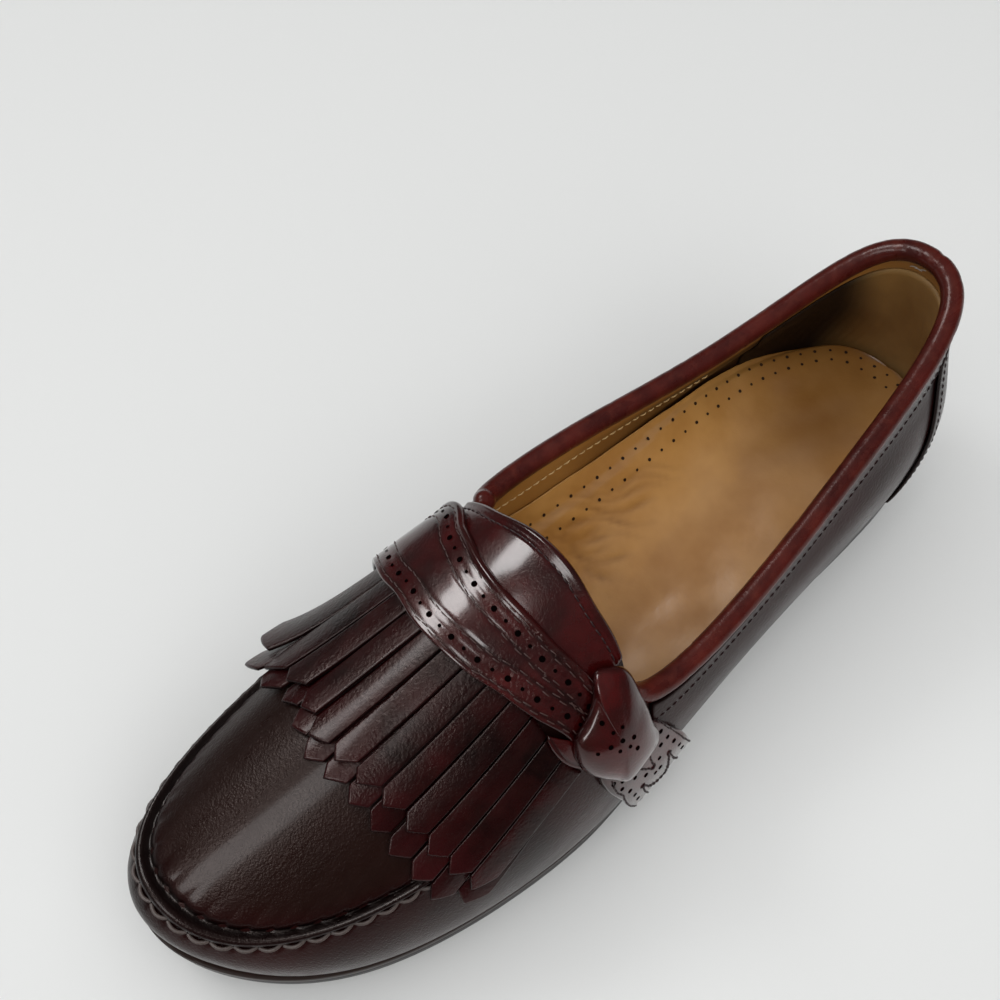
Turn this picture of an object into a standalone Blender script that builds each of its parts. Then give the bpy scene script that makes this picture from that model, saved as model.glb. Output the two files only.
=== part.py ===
"""Left moc-toe loafer with a double fringe, a knotted cross strap and a low heel.

The upper is one skin round the last. A rib is a curve that climbs the shoe from the feather line
(where upper and sole meet) to the collar, and sixteen of them, listed in RIBS, make a closed ring:
rib 0 runs up the toe, rib 4 the lateral instep, rib 8 the heel back and rib 12 the medial instep.
A place on the skin is a rib number and a climb: -1 at the feather line, 0 at the widest line and
1 at the collar. Every piece that lies on the upper is cut from that same skin.
"""
import math

import bmesh
import bpy
import numpy as np

# Sizes are in millimetres, and MM turns them into metres as a mesh is made.
MM = 0.001
FIT = 0.3  # gap between pieces that touch
LIE = 0.5  # gap under a curved piece that lies on the upper

# Driving dimensions
LENGTH = 300.0  # feather line, heel to toe
BALL_WIDTH = 100.0  # unit of the shares across the last
BACK_HEIGHT = 68.5  # heel seat to the top of the upper's back
HEEL_HEIGHT = 24.0  # floor to the feather line at the heel
FORE_HEIGHT = 8.6  # floor to the feather line under the ball
TOE_SPRING = 15.0  # lift of the toe over the ball
WALL = 2.0  # leather and lining
MIDSOLE_THICK = 3.4
HEEL_BREAST = 72.0  # heel back to the front face of the heel
TOP_PIECE_THICK = 6.0
EDGE_ROUND = 0.9  # rounding of the sole's and heel's lower edges
EDGE_TUCK = 0.5  # how far the other corners of the sole layers draw in
EDGE_BULGE = 0.2  # how far the midsole's edge stands past the outsole's
HEEL_INSET = 0.2  # heel's sides inside the outsole's edge

# Where the sole line bends, measured from the heel back as shares of LENGTH
ARCH_START, ARCH_END, SPRING_START = 0.15, 0.60, 0.717

# One row for each rib. along and collar_along are percent of LENGTH from the heel back; across and
# collar_across are percent of BALL_WIDTH, lateral positive; collar_up is percent of BACK_HEIGHT
# over the sole line. swell is how far the widest line stands outside the feather line and wide_up
# how far above it. rise, reach and drop set the shoulder between the widest line and the collar.
# seam is the climb of the apron seam and ridge its height.
RIB_COLUMNS = ("along across swell wide_up collar_along collar_across collar_up"
               " rise reach drop seam ridge").split()
RIBS = (
    ("toe_tip", 99.7, -14.0, 2.0, 12, 53.3, -3.0, 116.0, 16, 92, 34, 0.22, 1.8),
    ("toe_lateral", 96.3, 9.5, 2.5, 12, 53.3, 7.0, 114.0, 16, 84, 33, 0.23, 1.8),
    ("little_toe", 86.0, 31.5, 4.0, 13, 53.2, 17.0, 107.7, 18, 67, 29, 0.42, 1.7),
    ("ball_lateral", 69.3, 42.5, 4.5, 14, 52.8, 28.0, 94.0, 19, 40, 20, 0.66, 0.2),
    ("instep_lateral", 55.0, 42.0, 4.5, 15, 51.6, 38.0, 66.0, 16, 9, 14, 0.75, 0.0),
    ("waist_lateral", 38.3, 35.0, 6.0, 17, 37.3, 36.5, 60.0, 12, 1.5, 12, 0.60, 0.0),
    ("heel_lateral", 20.0, 33.0, 3.5, 18, 20.3, 29.5, 69.9, 14, 1.0, 16, 0.50, 0.0),
    ("heel_corner_lateral", 4.7, 24.0, 3.0, 18, 5.0, 19.0, 91.0, 15, 1.0, 20, 0.50, 0.0),
    ("heel_back", 0.3, 0.0, 3.0, 18, 1.0, 0.0, 98.0, 15, 1.0, 20, 0.50, 0.0),
    ("heel_corner_medial", 4.7, -24.0, 3.0, 18, 5.0, -18.5, 84.5, 15, 1.0, 20, 0.50, 0.0),
    ("heel_medial", 20.0, -32.0, 3.5, 18, 20.3, -28.5, 66.5, 14, 1.0, 16, 0.50, 0.0),
    ("waist_medial", 38.3, -30.5, 5.5, 18, 37.3, -37.0, 71.0, 14, 1.5, 14, 0.60, 0.0),
    ("instep_medial", 55.0, -38.0, 3.5, 16, 50.0, -39.5, 80.7, 17, 12, 15, 0.75, 0.0),
    ("ball_medial", 70.7, -47.0, 2.5, 14, 52.3, -33.5, 96.4, 19, 40, 21, 0.66, 0.2),
    ("big_toe", 86.0, -46.0, 2.0, 13, 53.2, -23.5, 107.7, 18, 67, 29, 0.42, 1.7),
    ("toe_medial", 96.3, -34.0, 2.0, 12, 53.3, -13.0, 114.0, 16, 84, 33, 0.23, 1.8),
)
RIB_COUNT = len(RIBS)
SEAM_HALF = 0.05  # half the seam ridge's width, in climb

# Sole edge beyond the feather line, by station
EDGE_STATIONS = (0.0, 0.25, 0.42, 0.62, 1.0)  # shares of LENGTH
EDGE_REACH = (0.8, 0.8, 0.6, 2.4, 2.8)

# Cushioned insole: its height over the sole line by station, and how far its inner side is lifted
# to hold the arch
INSOLE_STATIONS = (0.0, 0.25, 0.50, 1.0)
INSOLE_HEIGHT = (13.0, 12.0, 8.0, 5.0)
INSOLE_INSET = 2.4
INSOLE_TOP_INSET = 1.6
ARCH_LIFT = 14.0
ARCH_MIDDLE, ARCH_SPAN = 0.38, 0.26  # shares of LENGTH
HEEL_TAPER = 3.0  # how far the heel draws in towards the floor
BREAST_LEAN = 4.0  # how far the heel's front face leans back on its way down

# Cross strap from the medial sole over the instep to the knot, and the tab that meets it. Each row
# has the rib, the climb and the height over the skin of the rear edge, then those of the front edge.
STRAP_ROWS = (
    ("medial_sole", -4.65, -0.70, 0.5, -3.75, -0.70, 0.5),
    ("medial_wall", -4.50, -0.05, 0.5, -3.62, 0.02, 0.5),
    ("medial_side", -4.20, 0.42, 0.5, -3.45, 0.34, 0.5),
    ("medial_shoulder", -3.75, 0.78, 1.6, -3.20, 0.56, 2.2),
    ("medial_turn", -3.10, 0.950, 4.0, -2.75, 0.735, 5.2),
    ("medial_top", -1.98, 0.966, 3.0, -1.72, 0.836, 4.4),
    ("medial_crest", -0.88, 0.958, 2.8, -0.70, 0.858, 4.2),
    ("crest", 0.02, 0.956, 2.8, 0.10, 0.866, 4.2),
    ("lateral_crest", 0.82, 0.954, 2.8, 0.82, 0.864, 4.2),
    ("lateral_top", 1.56, 0.950, 2.8, 1.48, 0.862, 4.2),
    ("lateral_turn", 2.24, 0.940, 2.9, 2.10, 0.844, 4.2),
    ("knot_edge", 2.76, 0.915, 2.7, 2.58, 0.815, 3.2),
    ("over_knot", 3.20, 0.870, 1.9, 2.90, 0.765, 1.8),
    ("lateral_end", 3.66, 0.830, 0.6, 3.10, 0.705, 0.6),
)
TAB_ROWS = (
    ("under_knot", 3.74, 0.82, 0.6, 3.28, 0.70, 0.6),
    ("side", 4.14, 0.56, 0.5, 3.62, 0.42, 0.5),
    ("wall", 4.38, 0.02, 0.5, 3.80, 0.02, 0.5),
    ("sole", 4.50, -0.70, 0.5, 3.90, -0.70, 0.5),
)
STRAP_THICK = 1.8
KNOT_PLACE = (3.22, 0.82)  # rib and climb of the knot's middle
KNOT_WIDE = (0.50, 0.045)  # half width, towards the heel
KNOT_LONG = (-0.14, 0.17)  # half length, towards the crest
KNOT_HEIGHT = 6.0
KNOT_STAND = 3.9  # underside of the knot over the skin at the strap's end
KNOT_CLIMB = 3.8  # and how much more it stands off where the strap comes up
KNOT_FULL = 0.7  # under 1 fills out the knot's shoulders

# Fringe: rib and climb of the sewn edge and of the tips of both layers, by the number of strips
# counted from the medial edge; then each layer's strips, where they start and end, and how far
# the layer stands off the skin.
KILTIE_ROW_COLUMNS = "strip root_rib root_climb tip_rib top_tip under_tip".split()
KILTIE_ROWS = (
    (0, -2.80, 0.800, -2.62, 0.36, 0.30),
    (2, -1.67, 0.868, -1.54, 0.61, 0.575),
    (5, 0.09, 0.885, 0.08, 0.675, 0.648),
    (9, 2.07, 0.846, 1.80, 0.585, 0.515),
    (12, 3.05, 0.700, 2.60, 0.345, 0.23),
)
KILTIE_COLUMNS = "strips first last tip stand".split()
KILTIE_LAYERS = {
    "kiltie_under": (12, 0.45, 11.95, "under_tip", 0.5),
    "kiltie_top": (12, 0.0, 12.0, "top_tip", 2.2),
}
KILTIE_THICK = 1.2
KILTIE_BAND = 0.12  # share of a strip that stays uncut along the sewn edge
KILTIE_POINT = 0.11  # share taken by its blunt point
STRIP_GAP = 0.05  # slit between strips, in strips
CURL = 1.0  # lift of the tips
MEDIAL_CURL = 1.4  # more lift per rib past MEDIAL_CURL_FROM
MEDIAL_CURL_FROM = -1.7
SIDE_LIFT = 1.2  # lift over the seam's ends per rib past SIDE_LIFT_FROM
SIDE_LIFT_FROM = 1.9

TONGUE_RIBS = (-3.1, 2.9)
TONGUE_FRONT = 0.90
TONGUE_BACK = 1.018  # climb of the tongue's edge at the crest
TONGUE_ROUND = 0.00026  # how the edge falls to its corners, per rib to the fourth power
TONGUE_THICK = 1.6

BINDING_RIBS = (3.6, 12.8)
BINDING_RADIUS = 3.2
BAND_RIBS = (3.98, 12.18)
BAND_CLIMBS = (0.82, 0.985)
BACKSTAY_FOOT_RIBS = (6.42, 9.58)
BACKSTAY_TOP_RIBS = (6.92, 9.08)
BACKSTAY_CLIMBS = (-0.80, 0.79)
OVERLAY_THICK = 1.0

# Samples: round the shoe, up the upper, and along and across each piece cut from the skin
RING = 64
WALL_CLIMBS = (-1.0, -0.66, -0.33, 0.0)
WALL_MIDDLE = 0.55  # between the widest line and the seam
RIDGE_SIDES = (-1.0, -0.5, 0.0, 0.5, 1.0)  # across the seam, in SEAM_HALF
APRON_SHARES = (0.25, 0.5, 0.75, 1.0)  # from the seam to the collar
BAND_GRID, BACKSTAY_GRID, TONGUE_GRID = (44, 3), (23, 7), (17, 5)
STRAP_GRID, TAB_GRID, KNOT_GRID = (31, 4), (10, 4), (18, 10)
KILTIE_STEPS = 4  # from the slit's end to the tip
HEEL_SEARCH = 801  # places tried for the heel's front corners
SHARP_EDGE = 35  # degrees


def cubic_shares(share):
    """Weights of two rows and their slopes on the smooth curve between them."""
    return ((1 + 2 * share) * (1 - share) ** 2, share * share * (3 - 2 * share),
            share * (1 - share) ** 2, share * share * (share - 1))


def closed_curve(rows, slopes, at):
    """Smooth closed curve through rows, read at fractional row numbers."""
    at = np.asarray(at, float)
    start = np.floor(at).astype(int)
    keep, gain, leave, arrive = cubic_shares((at - start)[..., None])
    low, high = start % len(rows), (start + 1) % len(rows)
    return keep * rows[low] + gain * rows[high] + leave * slopes[low] + arrive * slopes[high]


def closed_slopes(rows):
    """Slopes that make the closed curve through rows bend evenly."""
    unit = np.eye(len(rows))
    band = 4 * unit + np.roll(unit, 1, axis=0) + np.roll(unit, -1, axis=0)
    return np.linalg.solve(band, 3 * (np.roll(rows, -1, axis=0) - np.roll(rows, 1, axis=0)))


RIB_ROWS = np.array([row[1:] for row in RIBS], float)
RIB_SLOPES = closed_slopes(RIB_ROWS)


def rib_values(rib):
    values = closed_curve(RIB_ROWS, RIB_SLOPES, rib)
    return {name: values[..., i] for i, name in enumerate(RIB_COLUMNS)}


def sole_line(station):
    """Height of the feather line over the floor."""
    fall = np.clip((station / LENGTH - ARCH_START) / (ARCH_END - ARCH_START), 0, 1)
    fall = fall * fall * (3 - 2 * fall)
    toe = np.clip((station / LENGTH - SPRING_START) / (1 - SPRING_START), 0, None)
    return HEEL_HEIGHT + (FORE_HEIGHT - HEEL_HEIGHT) * fall + TOE_SPRING * toe * toe


def plan(rib):
    """Feather line from above, and its outward direction."""
    def place(at):
        values = rib_values(at)
        return np.stack([values["along"] * LENGTH / 100, values["across"] * BALL_WIDTH / 100], -1)
    step = 0.01
    run = place(rib + step) - place(rib - step)
    run = run / np.linalg.norm(run, axis=-1, keepdims=True)
    return place(rib), np.stack([-run[..., 1], run[..., 0]], -1) * TURN


TURN = 1.0
_, heel_out = plan(np.array(RIB_COUNT / 2))
TURN = -np.sign(heel_out[0])  # outward at the heel back is towards -X


def raise_to(flat, height):
    return np.concatenate([flat, np.broadcast_to(height, flat.shape[:-1])[..., None]], -1)


def bare_skin(rib, climb):
    rib, climb = np.broadcast_arrays(np.asarray(rib, float), np.asarray(climb, float))
    values = rib_values(rib)
    foot_flat, out = plan(rib)
    foot = raise_to(foot_flat, sole_line(foot_flat[..., 0]))
    wide = foot + raise_to(out * values["swell"][..., None], values["wide_up"])
    collar_x = values["collar_along"] * LENGTH / 100
    collar_z = sole_line(collar_x) + values["collar_up"] * BACK_HEIGHT / 100
    collar = np.stack([collar_x, values["collar_across"] * BALL_WIDTH / 100, collar_z], -1)
    inward = collar[..., :2] - wide[..., :2]
    inward = inward / np.maximum(np.linalg.norm(inward, axis=-1, keepdims=True), 1e-6)
    up = np.array([0.0, 0.0, 1.0])
    wall_top = wide + up * values["rise"][..., None]
    shoulder = collar - raise_to(inward * values["reach"][..., None], values["drop"])
    turn = (np.clip(climb + 1, 0, 1) * math.pi / 2)[..., None]
    bow = np.concatenate([np.sin(turn), np.sin(turn), 1 - np.cos(turn)], -1)
    t = np.maximum(climb, 0)[..., None]
    over = ((1 - t) ** 3 * wide + 3 * (1 - t) ** 2 * t * wall_top
            + 3 * (1 - t) * t * t * shoulder + t ** 3 * collar)
    return np.where(climb[..., None] < 0, foot + (wide - foot) * bow, over)


def outward(rib, climb):
    step = 0.002
    round_shoe = bare_skin(rib + step, climb) - bare_skin(rib - step, climb)
    up_shoe = bare_skin(rib, climb + step) - bare_skin(rib, climb - step)
    normal = np.cross(round_shoe, up_shoe)
    return normal / np.linalg.norm(normal, axis=-1, keepdims=True)


def skin(rib, climb, stand=0.0):
    """Points on the upper, with the apron seam's ridge, standing off it by stand."""
    rib, climb = np.broadcast_arrays(np.asarray(rib, float), np.asarray(climb, float))
    values = rib_values(rib)
    across_seam = np.clip((climb - values["seam"]) / SEAM_HALF, -1, 1)
    ridge = np.maximum(values["ridge"], 0) * np.cos(across_seam * math.pi / 2) ** 2
    lift = (ridge + stand)[..., None]
    return bare_skin(rib, climb) + outward(rib, climb) * lift


for stale in list(bpy.data.objects):
    bpy.data.objects.remove(stale, do_unlink=True)
shoe = bpy.data.collections.new("loafer")
bpy.context.scene.collection.children.link(shoe)
stand_point = bpy.data.objects.new("stand_point", None)
shoe.objects.link(stand_point)


def finish(name, colour, roughness):
    """Principled material in the piece's own colour."""
    material = bpy.data.materials.new(name)
    material.use_nodes = True
    shader = material.node_tree.nodes["Principled BSDF"]
    shader.inputs["Base Color"].default_value = (*colour, 1)
    shader.inputs["Roughness"].default_value = roughness
    shader.inputs["Metallic"].default_value = 0
    return material


def add_object(name, data, material):
    data.materials.append(material)
    piece = bpy.data.objects.new(name, data)
    piece.parent = stand_point
    shoe.objects.link(piece)
    return piece


def add_mesh(name, points, faces, material):
    mesh = bpy.data.meshes.new(name)
    mesh.from_pydata([tuple(point * MM) for point in points], [], faces)
    mesh.shade_smooth()
    return add_object(name, mesh, material)


def thicken(piece, thickness, offset):
    shell = piece.modifiers.new("thickness", "SOLIDIFY")
    shell.thickness = thickness * MM
    shell.offset = offset
    shell.use_even_offset = True
    shell.use_quality_normals = True


def grid_faces(rows, columns, closed=False):
    """Quads of a grid of points, row after row, facing away from the shoe."""
    faces = []
    for i in range(rows if closed else rows - 1):
        after = (i + 1) % rows
        for j in range(columns - 1):
            faces.append((i * columns + j, after * columns + j,
                          after * columns + j + 1, i * columns + j + 1))
    return faces


def sheet(name, points, thickness, material):
    """Leather lying on the upper: an open surface thickened away from the shoe."""
    rows, columns = points.shape[:2]
    piece = add_mesh(name, points.reshape(-1, 3), grid_faces(rows, columns), material)
    thicken(piece, thickness, 1)
    return piece


def layered(name, rings, material):
    """Solid between rings of paired points, each point facing its mirror across the shoe."""
    count = len(rings[0])
    faces = []
    for level in range(len(rings) - 1):
        for j in range(count):
            here, after = level * count + j, level * count + (j + 1) % count
            faces.append((here, here + count, after + count, after))
    bottom = (len(rings) - 1) * count
    for j in range(count // 2 - 1):
        far, next_far = count - 1 - j, count - 2 - j
        faces.append((j, j + 1, next_far, far))
        faces.append((bottom + far, bottom + next_far, bottom + j + 1, bottom + j))
    piece = add_mesh(name, np.concatenate(rings), faces, material)
    mesh = piece.data
    tidy = bmesh.new()
    tidy.from_mesh(mesh)
    bmesh.ops.recalc_face_normals(tidy, faces=tidy.faces)
    tidy.to_mesh(mesh)
    tidy.free()
    mesh.set_sharp_from_angle(angle=math.radians(SHARP_EDGE))
    return piece


def outline(ribs, reach):
    """Feather line in plan, moved outward by reach."""
    flat, out = plan(ribs)
    return flat + out * np.broadcast_to(reach, ribs.shape)[..., None]


def sole_edge(ribs):
    flat, _ = plan(ribs)
    return np.interp(flat[..., 0] / LENGTH, EDGE_STATIONS, EDGE_REACH)


def sole_layer(name, ribs, profile, material):
    """Layer that follows the sole line: profile rows are reach past the edge and depth below."""
    rings = []
    for reach, depth in profile:
        flat = outline(ribs, sole_edge(ribs) + reach)
        rings.append(raise_to(flat, sole_line(flat[..., 0]) - depth))
    return layered(name, rings, material)


def whole_ring():
    return (np.arange(RING) + 0.5) * RIB_COUNT / RING


def heel_ring():
    """Ribs round the heel, from the breast's lateral corner to its medial one."""
    fine = np.linspace(RIB_COUNT / 4, RIB_COUNT * 3 / 4, HEEL_SEARCH)
    station = plan(fine)[0][..., 0]
    behind = fine[station <= HEEL_BREAST]
    return np.linspace(behind[0], behind[-1], RING // 2)


def smooth_at(run, table, at):
    """Values on a smooth curve through a table's rows, which lie at the places in run."""
    slopes = np.gradient(table, run, axis=0)
    low = np.clip(np.searchsorted(run, at, side="right") - 1, 0, len(table) - 2)
    step = (run[low + 1] - run[low])[:, None]
    keep, gain, leave, arrive = cubic_shares((at - run[low])[:, None] / step)
    return (keep * table[low] + gain * table[low + 1]
            + (leave * slopes[low] + arrive * slopes[low + 1]) * step)


def smooth_rows(rows, count):
    """Rows of a strap at even steps along it, on a smooth curve through the given ones."""
    table = np.array([row[1:] for row in rows], float)
    middle = (skin(table[:, 0], table[:, 1]) + skin(table[:, 3], table[:, 4])) / 2
    run = np.concatenate([[0.0], np.cumsum(np.linalg.norm(np.diff(middle, axis=0), axis=1))])
    return smooth_at(run, table, np.linspace(0, run[-1], count))


def band_between_edges(rows, grid):
    """Points of a strap whose rows give its rear and front edge."""
    edges = smooth_rows(rows, grid[0])
    rear = np.linspace(0, 1, grid[1])
    places = edges[:, None, :3] * rear[:, None] + edges[:, None, 3:] * (1 - rear[:, None])
    return skin(places[..., 0], places[..., 1], places[..., 2])


def patch(foot_ribs, top_ribs, climbs, grid, stand):
    """Points of a piece that lies on the upper, between its ribs at the lower and at the upper edge."""
    up = np.linspace(0, 1, grid[1])[None, :]
    foot = np.linspace(*foot_ribs, grid[0])[:, None]
    top = np.linspace(*top_ribs, grid[0])[:, None]
    climb = np.linspace(*climbs, grid[1])[None, :]
    return skin(foot + (top - foot) * up, climb, stand)


oxblood = finish("oxblood_leather", (0.060, 0.012, 0.010), 0.30)
strap_leather = finish("strap_leather", (0.070, 0.013, 0.010), 0.28)
fringe_leather = finish("fringe_leather", (0.062, 0.014, 0.012), 0.34)
binding_leather = finish("binding_leather", (0.095, 0.022, 0.016), 0.32)
tan_leather = finish("tan_leather", (0.42, 0.22, 0.075), 0.42)
edge_brown = finish("midsole_edge", (0.020, 0.012, 0.009), 0.40)
edge_black = finish("sole_edge_black", (0.010, 0.009, 0.009), 0.45)
rubber_black = finish("rubber_black", (0.014, 0.014, 0.014), 0.60)


def build_sole():
    ring = whole_ring()
    mid_low = FIT + MIDSOLE_THICK
    sole_layer("midsole", ring, ((-EDGE_TUCK, FIT), (EDGE_BULGE, FIT + EDGE_ROUND),
                                 (EDGE_BULGE, mid_low - EDGE_TUCK), (-EDGE_TUCK, mid_low)), edge_brown)
    top = mid_low + FIT
    sole_layer("outsole", ring, ((-EDGE_TUCK, top), (0.0, top + EDGE_TUCK),
                                 (0.0, FORE_HEIGHT - EDGE_ROUND), (-EDGE_ROUND, FORE_HEIGHT)), edge_black)
    top_flat, low_flat = outline(ring, -INSOLE_TOP_INSET), outline(ring, -INSOLE_INSET)
    share = top_flat[:, 0] / LENGTH
    height = np.interp(share, INSOLE_STATIONS, INSOLE_HEIGHT)
    arch = np.cos(np.clip((share - ARCH_MIDDLE) / ARCH_SPAN, -1, 1) * math.pi / 2) ** 2
    height = height + np.where(top_flat[:, 1] < 0, ARCH_LIFT * arch, 0)
    layered("insole", [raise_to(top_flat, sole_line(top_flat[:, 0]) + height),
                       raise_to(low_flat, sole_line(low_flat[:, 0]) + FIT)], tan_leather)


def build_heel():
    ring = heel_ring()
    edge = sole_edge(ring)
    heel_top = sole_line(0.0) - FORE_HEIGHT

    def ring_at(height, inset=HEEL_INSET):
        """Ring of the heel at a height, drawn in on its way to the floor."""
        down = 1 - height / heel_top
        flat = outline(ring, edge - inset - HEEL_TAPER * down)
        flat[:, 0] *= 1 - BREAST_LEAN * down / HEEL_BREAST
        return flat

    seat_flat = ring_at(heel_top)
    seat = sole_line(seat_flat[..., 0]) - FORE_HEIGHT - FIT
    lift_bottom = TOP_PIECE_THICK + FIT
    layered("heel_stack", [raise_to(seat_flat, seat), raise_to(ring_at(lift_bottom), lift_bottom)],
            edge_black)
    layered("heel_top_piece", [raise_to(ring_at(TOP_PIECE_THICK), TOP_PIECE_THICK),
                               raise_to(ring_at(EDGE_ROUND), EDGE_ROUND),
                               raise_to(ring_at(0.0, inset=EDGE_ROUND), 0.0)], rubber_black)


def build_upper():
    rib = whole_ring()[:, None]
    seam = rib_values(rib)["seam"]
    below = [np.full_like(seam, climb) for climb in WALL_CLIMBS]
    below.append((seam - SEAM_HALF) * WALL_MIDDLE)
    ridge = [seam + SEAM_HALF * side for side in RIDGE_SIDES]
    top = seam + SEAM_HALF
    above = [top + (1 - top) * share for share in APRON_SHARES]
    climb = np.concatenate(below + ridge + above, axis=1)
    points = skin(rib, climb)
    piece = add_mesh("upper", points.reshape(-1, 3), grid_faces(*climb.shape, closed=True), oxblood)
    thicken(piece, WALL, -1)


def build_collar():
    ribs = whole_ring()
    ribs = ribs[(ribs > BINDING_RIBS[0]) & (ribs < BINDING_RIBS[1])]
    out = outward(ribs, np.ones_like(ribs))
    rim = skin(ribs, 1.0) - out * WALL / 2
    above = np.cross(out, np.gradient(rim, axis=0))
    above = above / np.linalg.norm(above, axis=1, keepdims=True)
    rim = rim + above * np.sign(above[:, 2:]) * (BINDING_RADIUS + FIT)
    roll = bpy.data.curves.new("collar_binding", "CURVE")
    roll.dimensions = "3D"
    line = roll.splines.new("POLY")
    line.points.add(len(rim) - 1)
    for point, place in zip(line.points, rim):
        point.co = (*(place * MM), 1)
    roll.bevel_depth = BINDING_RADIUS * MM
    roll.bevel_resolution = 2
    roll.use_fill_caps = True
    add_object("collar_binding", roll, binding_leather)
    band = patch(BAND_RIBS, BAND_RIBS, BAND_CLIMBS, BAND_GRID, LIE)
    sheet("collar_band", band, OVERLAY_THICK, oxblood)
    stay = patch(BACKSTAY_FOOT_RIBS, BACKSTAY_TOP_RIBS, BACKSTAY_CLIMBS, BACKSTAY_GRID, LIE)
    sheet("backstay", stay, OVERLAY_THICK, oxblood)


def build_tongue():
    rib = np.linspace(*TONGUE_RIBS, TONGUE_GRID[0])[:, None]
    back = TONGUE_BACK - TONGUE_ROUND * rib ** 4
    share = np.linspace(0, 1, TONGUE_GRID[1])[None, :]
    climb = TONGUE_FRONT + (back - TONGUE_FRONT) * share
    sheet("tongue", skin(rib, climb, LIE), TONGUE_THICK, oxblood)


def kiltie_lift(rib, along):
    """How far a strip's end curls up, along from its root to its tip."""
    curl = (CURL + MEDIAL_CURL * np.maximum(MEDIAL_CURL_FROM - rib, 0)) * along * along
    return curl + SIDE_LIFT * np.maximum(np.abs(rib) - SIDE_LIFT_FROM, 0) * along


def build_kiltie(name, layer):
    values = dict(zip(KILTIE_COLUMNS, layer))
    table = np.array(KILTIE_ROWS, float)
    points, faces = [], []

    def add_row(strips, along):
        row = dict(zip(KILTIE_ROW_COLUMNS[1:], smooth_at(table[:, 0], table[:, 1:], strips).T))
        ribs = row["root_rib"] + (row["tip_rib"] - row["root_rib"]) * along
        climbs = row["root_climb"] + (row[values["tip"]] - row["root_climb"]) * along
        points.extend(skin(ribs, climbs, values["stand"] + kiltie_lift(ribs, along)))

    borders = np.linspace(values["first"], values["last"], values["strips"] + 1)
    starts, ends = borders[:-1] + STRIP_GAP / 2, borders[1:] - STRIP_GAP / 2
    across = np.stack([starts, (starts + ends) / 2, ends], axis=1)
    add_row(across.ravel(), 0.0)
    add_row(across.ravel(), KILTIE_BAND)
    count = across.size
    for j in range(count - 1):
        faces.append((count + j, count + j + 1, j + 1, j))
    for strip, places in enumerate(across):
        left, middle, right = range(count + 3 * strip, count + 3 * strip + 3)
        for along in np.linspace(KILTIE_BAND, 1 - KILTIE_POINT, KILTIE_STEPS + 1)[1:]:
            add_row(places, along)
            new_left, new_middle, new_right = range(len(points) - 3, len(points))
            faces.append((new_left, new_middle, middle, left))
            faces.append((new_middle, new_right, right, middle))
            left, middle, right = new_left, new_middle, new_right
        add_row(places[1:2], 1.0)
        tip = len(points) - 1
        faces.append((tip, middle, left))
        faces.append((tip, right, middle))
    piece = add_mesh(name, points, faces, fringe_leather)
    thicken(piece, KILTIE_THICK, 1)


def build_strap():
    sheet("strap", band_between_edges(STRAP_ROWS, STRAP_GRID), STRAP_THICK, strap_leather)
    sheet("strap_tab", band_between_edges(TAB_ROWS, TAB_GRID), STRAP_THICK, strap_leather)
    ball = bmesh.new()
    bmesh.ops.create_uvsphere(ball, u_segments=KNOT_GRID[0], v_segments=KNOT_GRID[1], radius=1)
    for vertex in ball.verts:
        wide, long, high = vertex.co
        rib = KNOT_PLACE[0] + wide * KNOT_WIDE[0] + long * KNOT_LONG[0]
        climb = KNOT_PLACE[1] + wide * KNOT_WIDE[1] + long * KNOT_LONG[1]
        under = KNOT_STAND + KNOT_CLIMB * ((1 + long) / 2) ** 2
        stand = under + (KNOT_HEIGHT * high ** KNOT_FULL if high > 0 else FIT * high)
        vertex.co = skin(rib, climb, stand) * MM
    mesh = bpy.data.meshes.new("strap_knot")
    ball.to_mesh(mesh)
    ball.free()
    mesh.shade_smooth()
    add_object("strap_knot", mesh, strap_leather)


def stand_on_origin():
    """Set the shoe on the floor with the middle of its box over the origin."""
    bpy.context.view_layer.update()
    view = bpy.context.evaluated_depsgraph_get()
    corners = []
    for piece in shoe.objects:
        if piece.type != "EMPTY":
            mesh = piece.evaluated_get(view).to_mesh()
            corners.extend(tuple(vertex.co) for vertex in mesh.vertices)
    corners = np.array(corners)
    low, high = corners.min(axis=0), corners.max(axis=0)
    stand_point.location = (-(low[0] + high[0]) / 2, -(low[1] + high[1]) / 2, -low[2])


build_sole()
build_heel()
build_upper()
build_collar()
build_tongue()
for layer_name, layer_row in KILTIE_LAYERS.items():
    build_kiltie(layer_name, layer_row)
build_strap()
stand_on_origin()
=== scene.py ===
import math

import bpy
import numpy as np
from mathutils import Matrix


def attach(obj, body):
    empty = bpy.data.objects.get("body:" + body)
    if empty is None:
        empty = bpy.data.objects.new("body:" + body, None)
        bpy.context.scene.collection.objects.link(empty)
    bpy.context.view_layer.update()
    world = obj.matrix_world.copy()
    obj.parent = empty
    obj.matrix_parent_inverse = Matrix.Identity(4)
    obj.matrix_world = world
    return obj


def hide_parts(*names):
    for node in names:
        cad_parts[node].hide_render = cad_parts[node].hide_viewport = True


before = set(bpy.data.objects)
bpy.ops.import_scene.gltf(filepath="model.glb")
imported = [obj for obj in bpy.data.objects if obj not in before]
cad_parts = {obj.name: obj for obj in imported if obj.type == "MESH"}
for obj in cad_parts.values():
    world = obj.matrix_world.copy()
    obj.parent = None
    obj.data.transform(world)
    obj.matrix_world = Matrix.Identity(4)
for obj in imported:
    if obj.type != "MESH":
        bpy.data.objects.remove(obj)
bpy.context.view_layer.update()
scene = bpy.context.scene

# Lengths are in millimetres in the shoe's own frame: x from the heel back, y to the lateral side
mm = 0.001
standShift = np.array([-149.17, 1.48, 0.0])  # shoe frame to part frame

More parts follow.
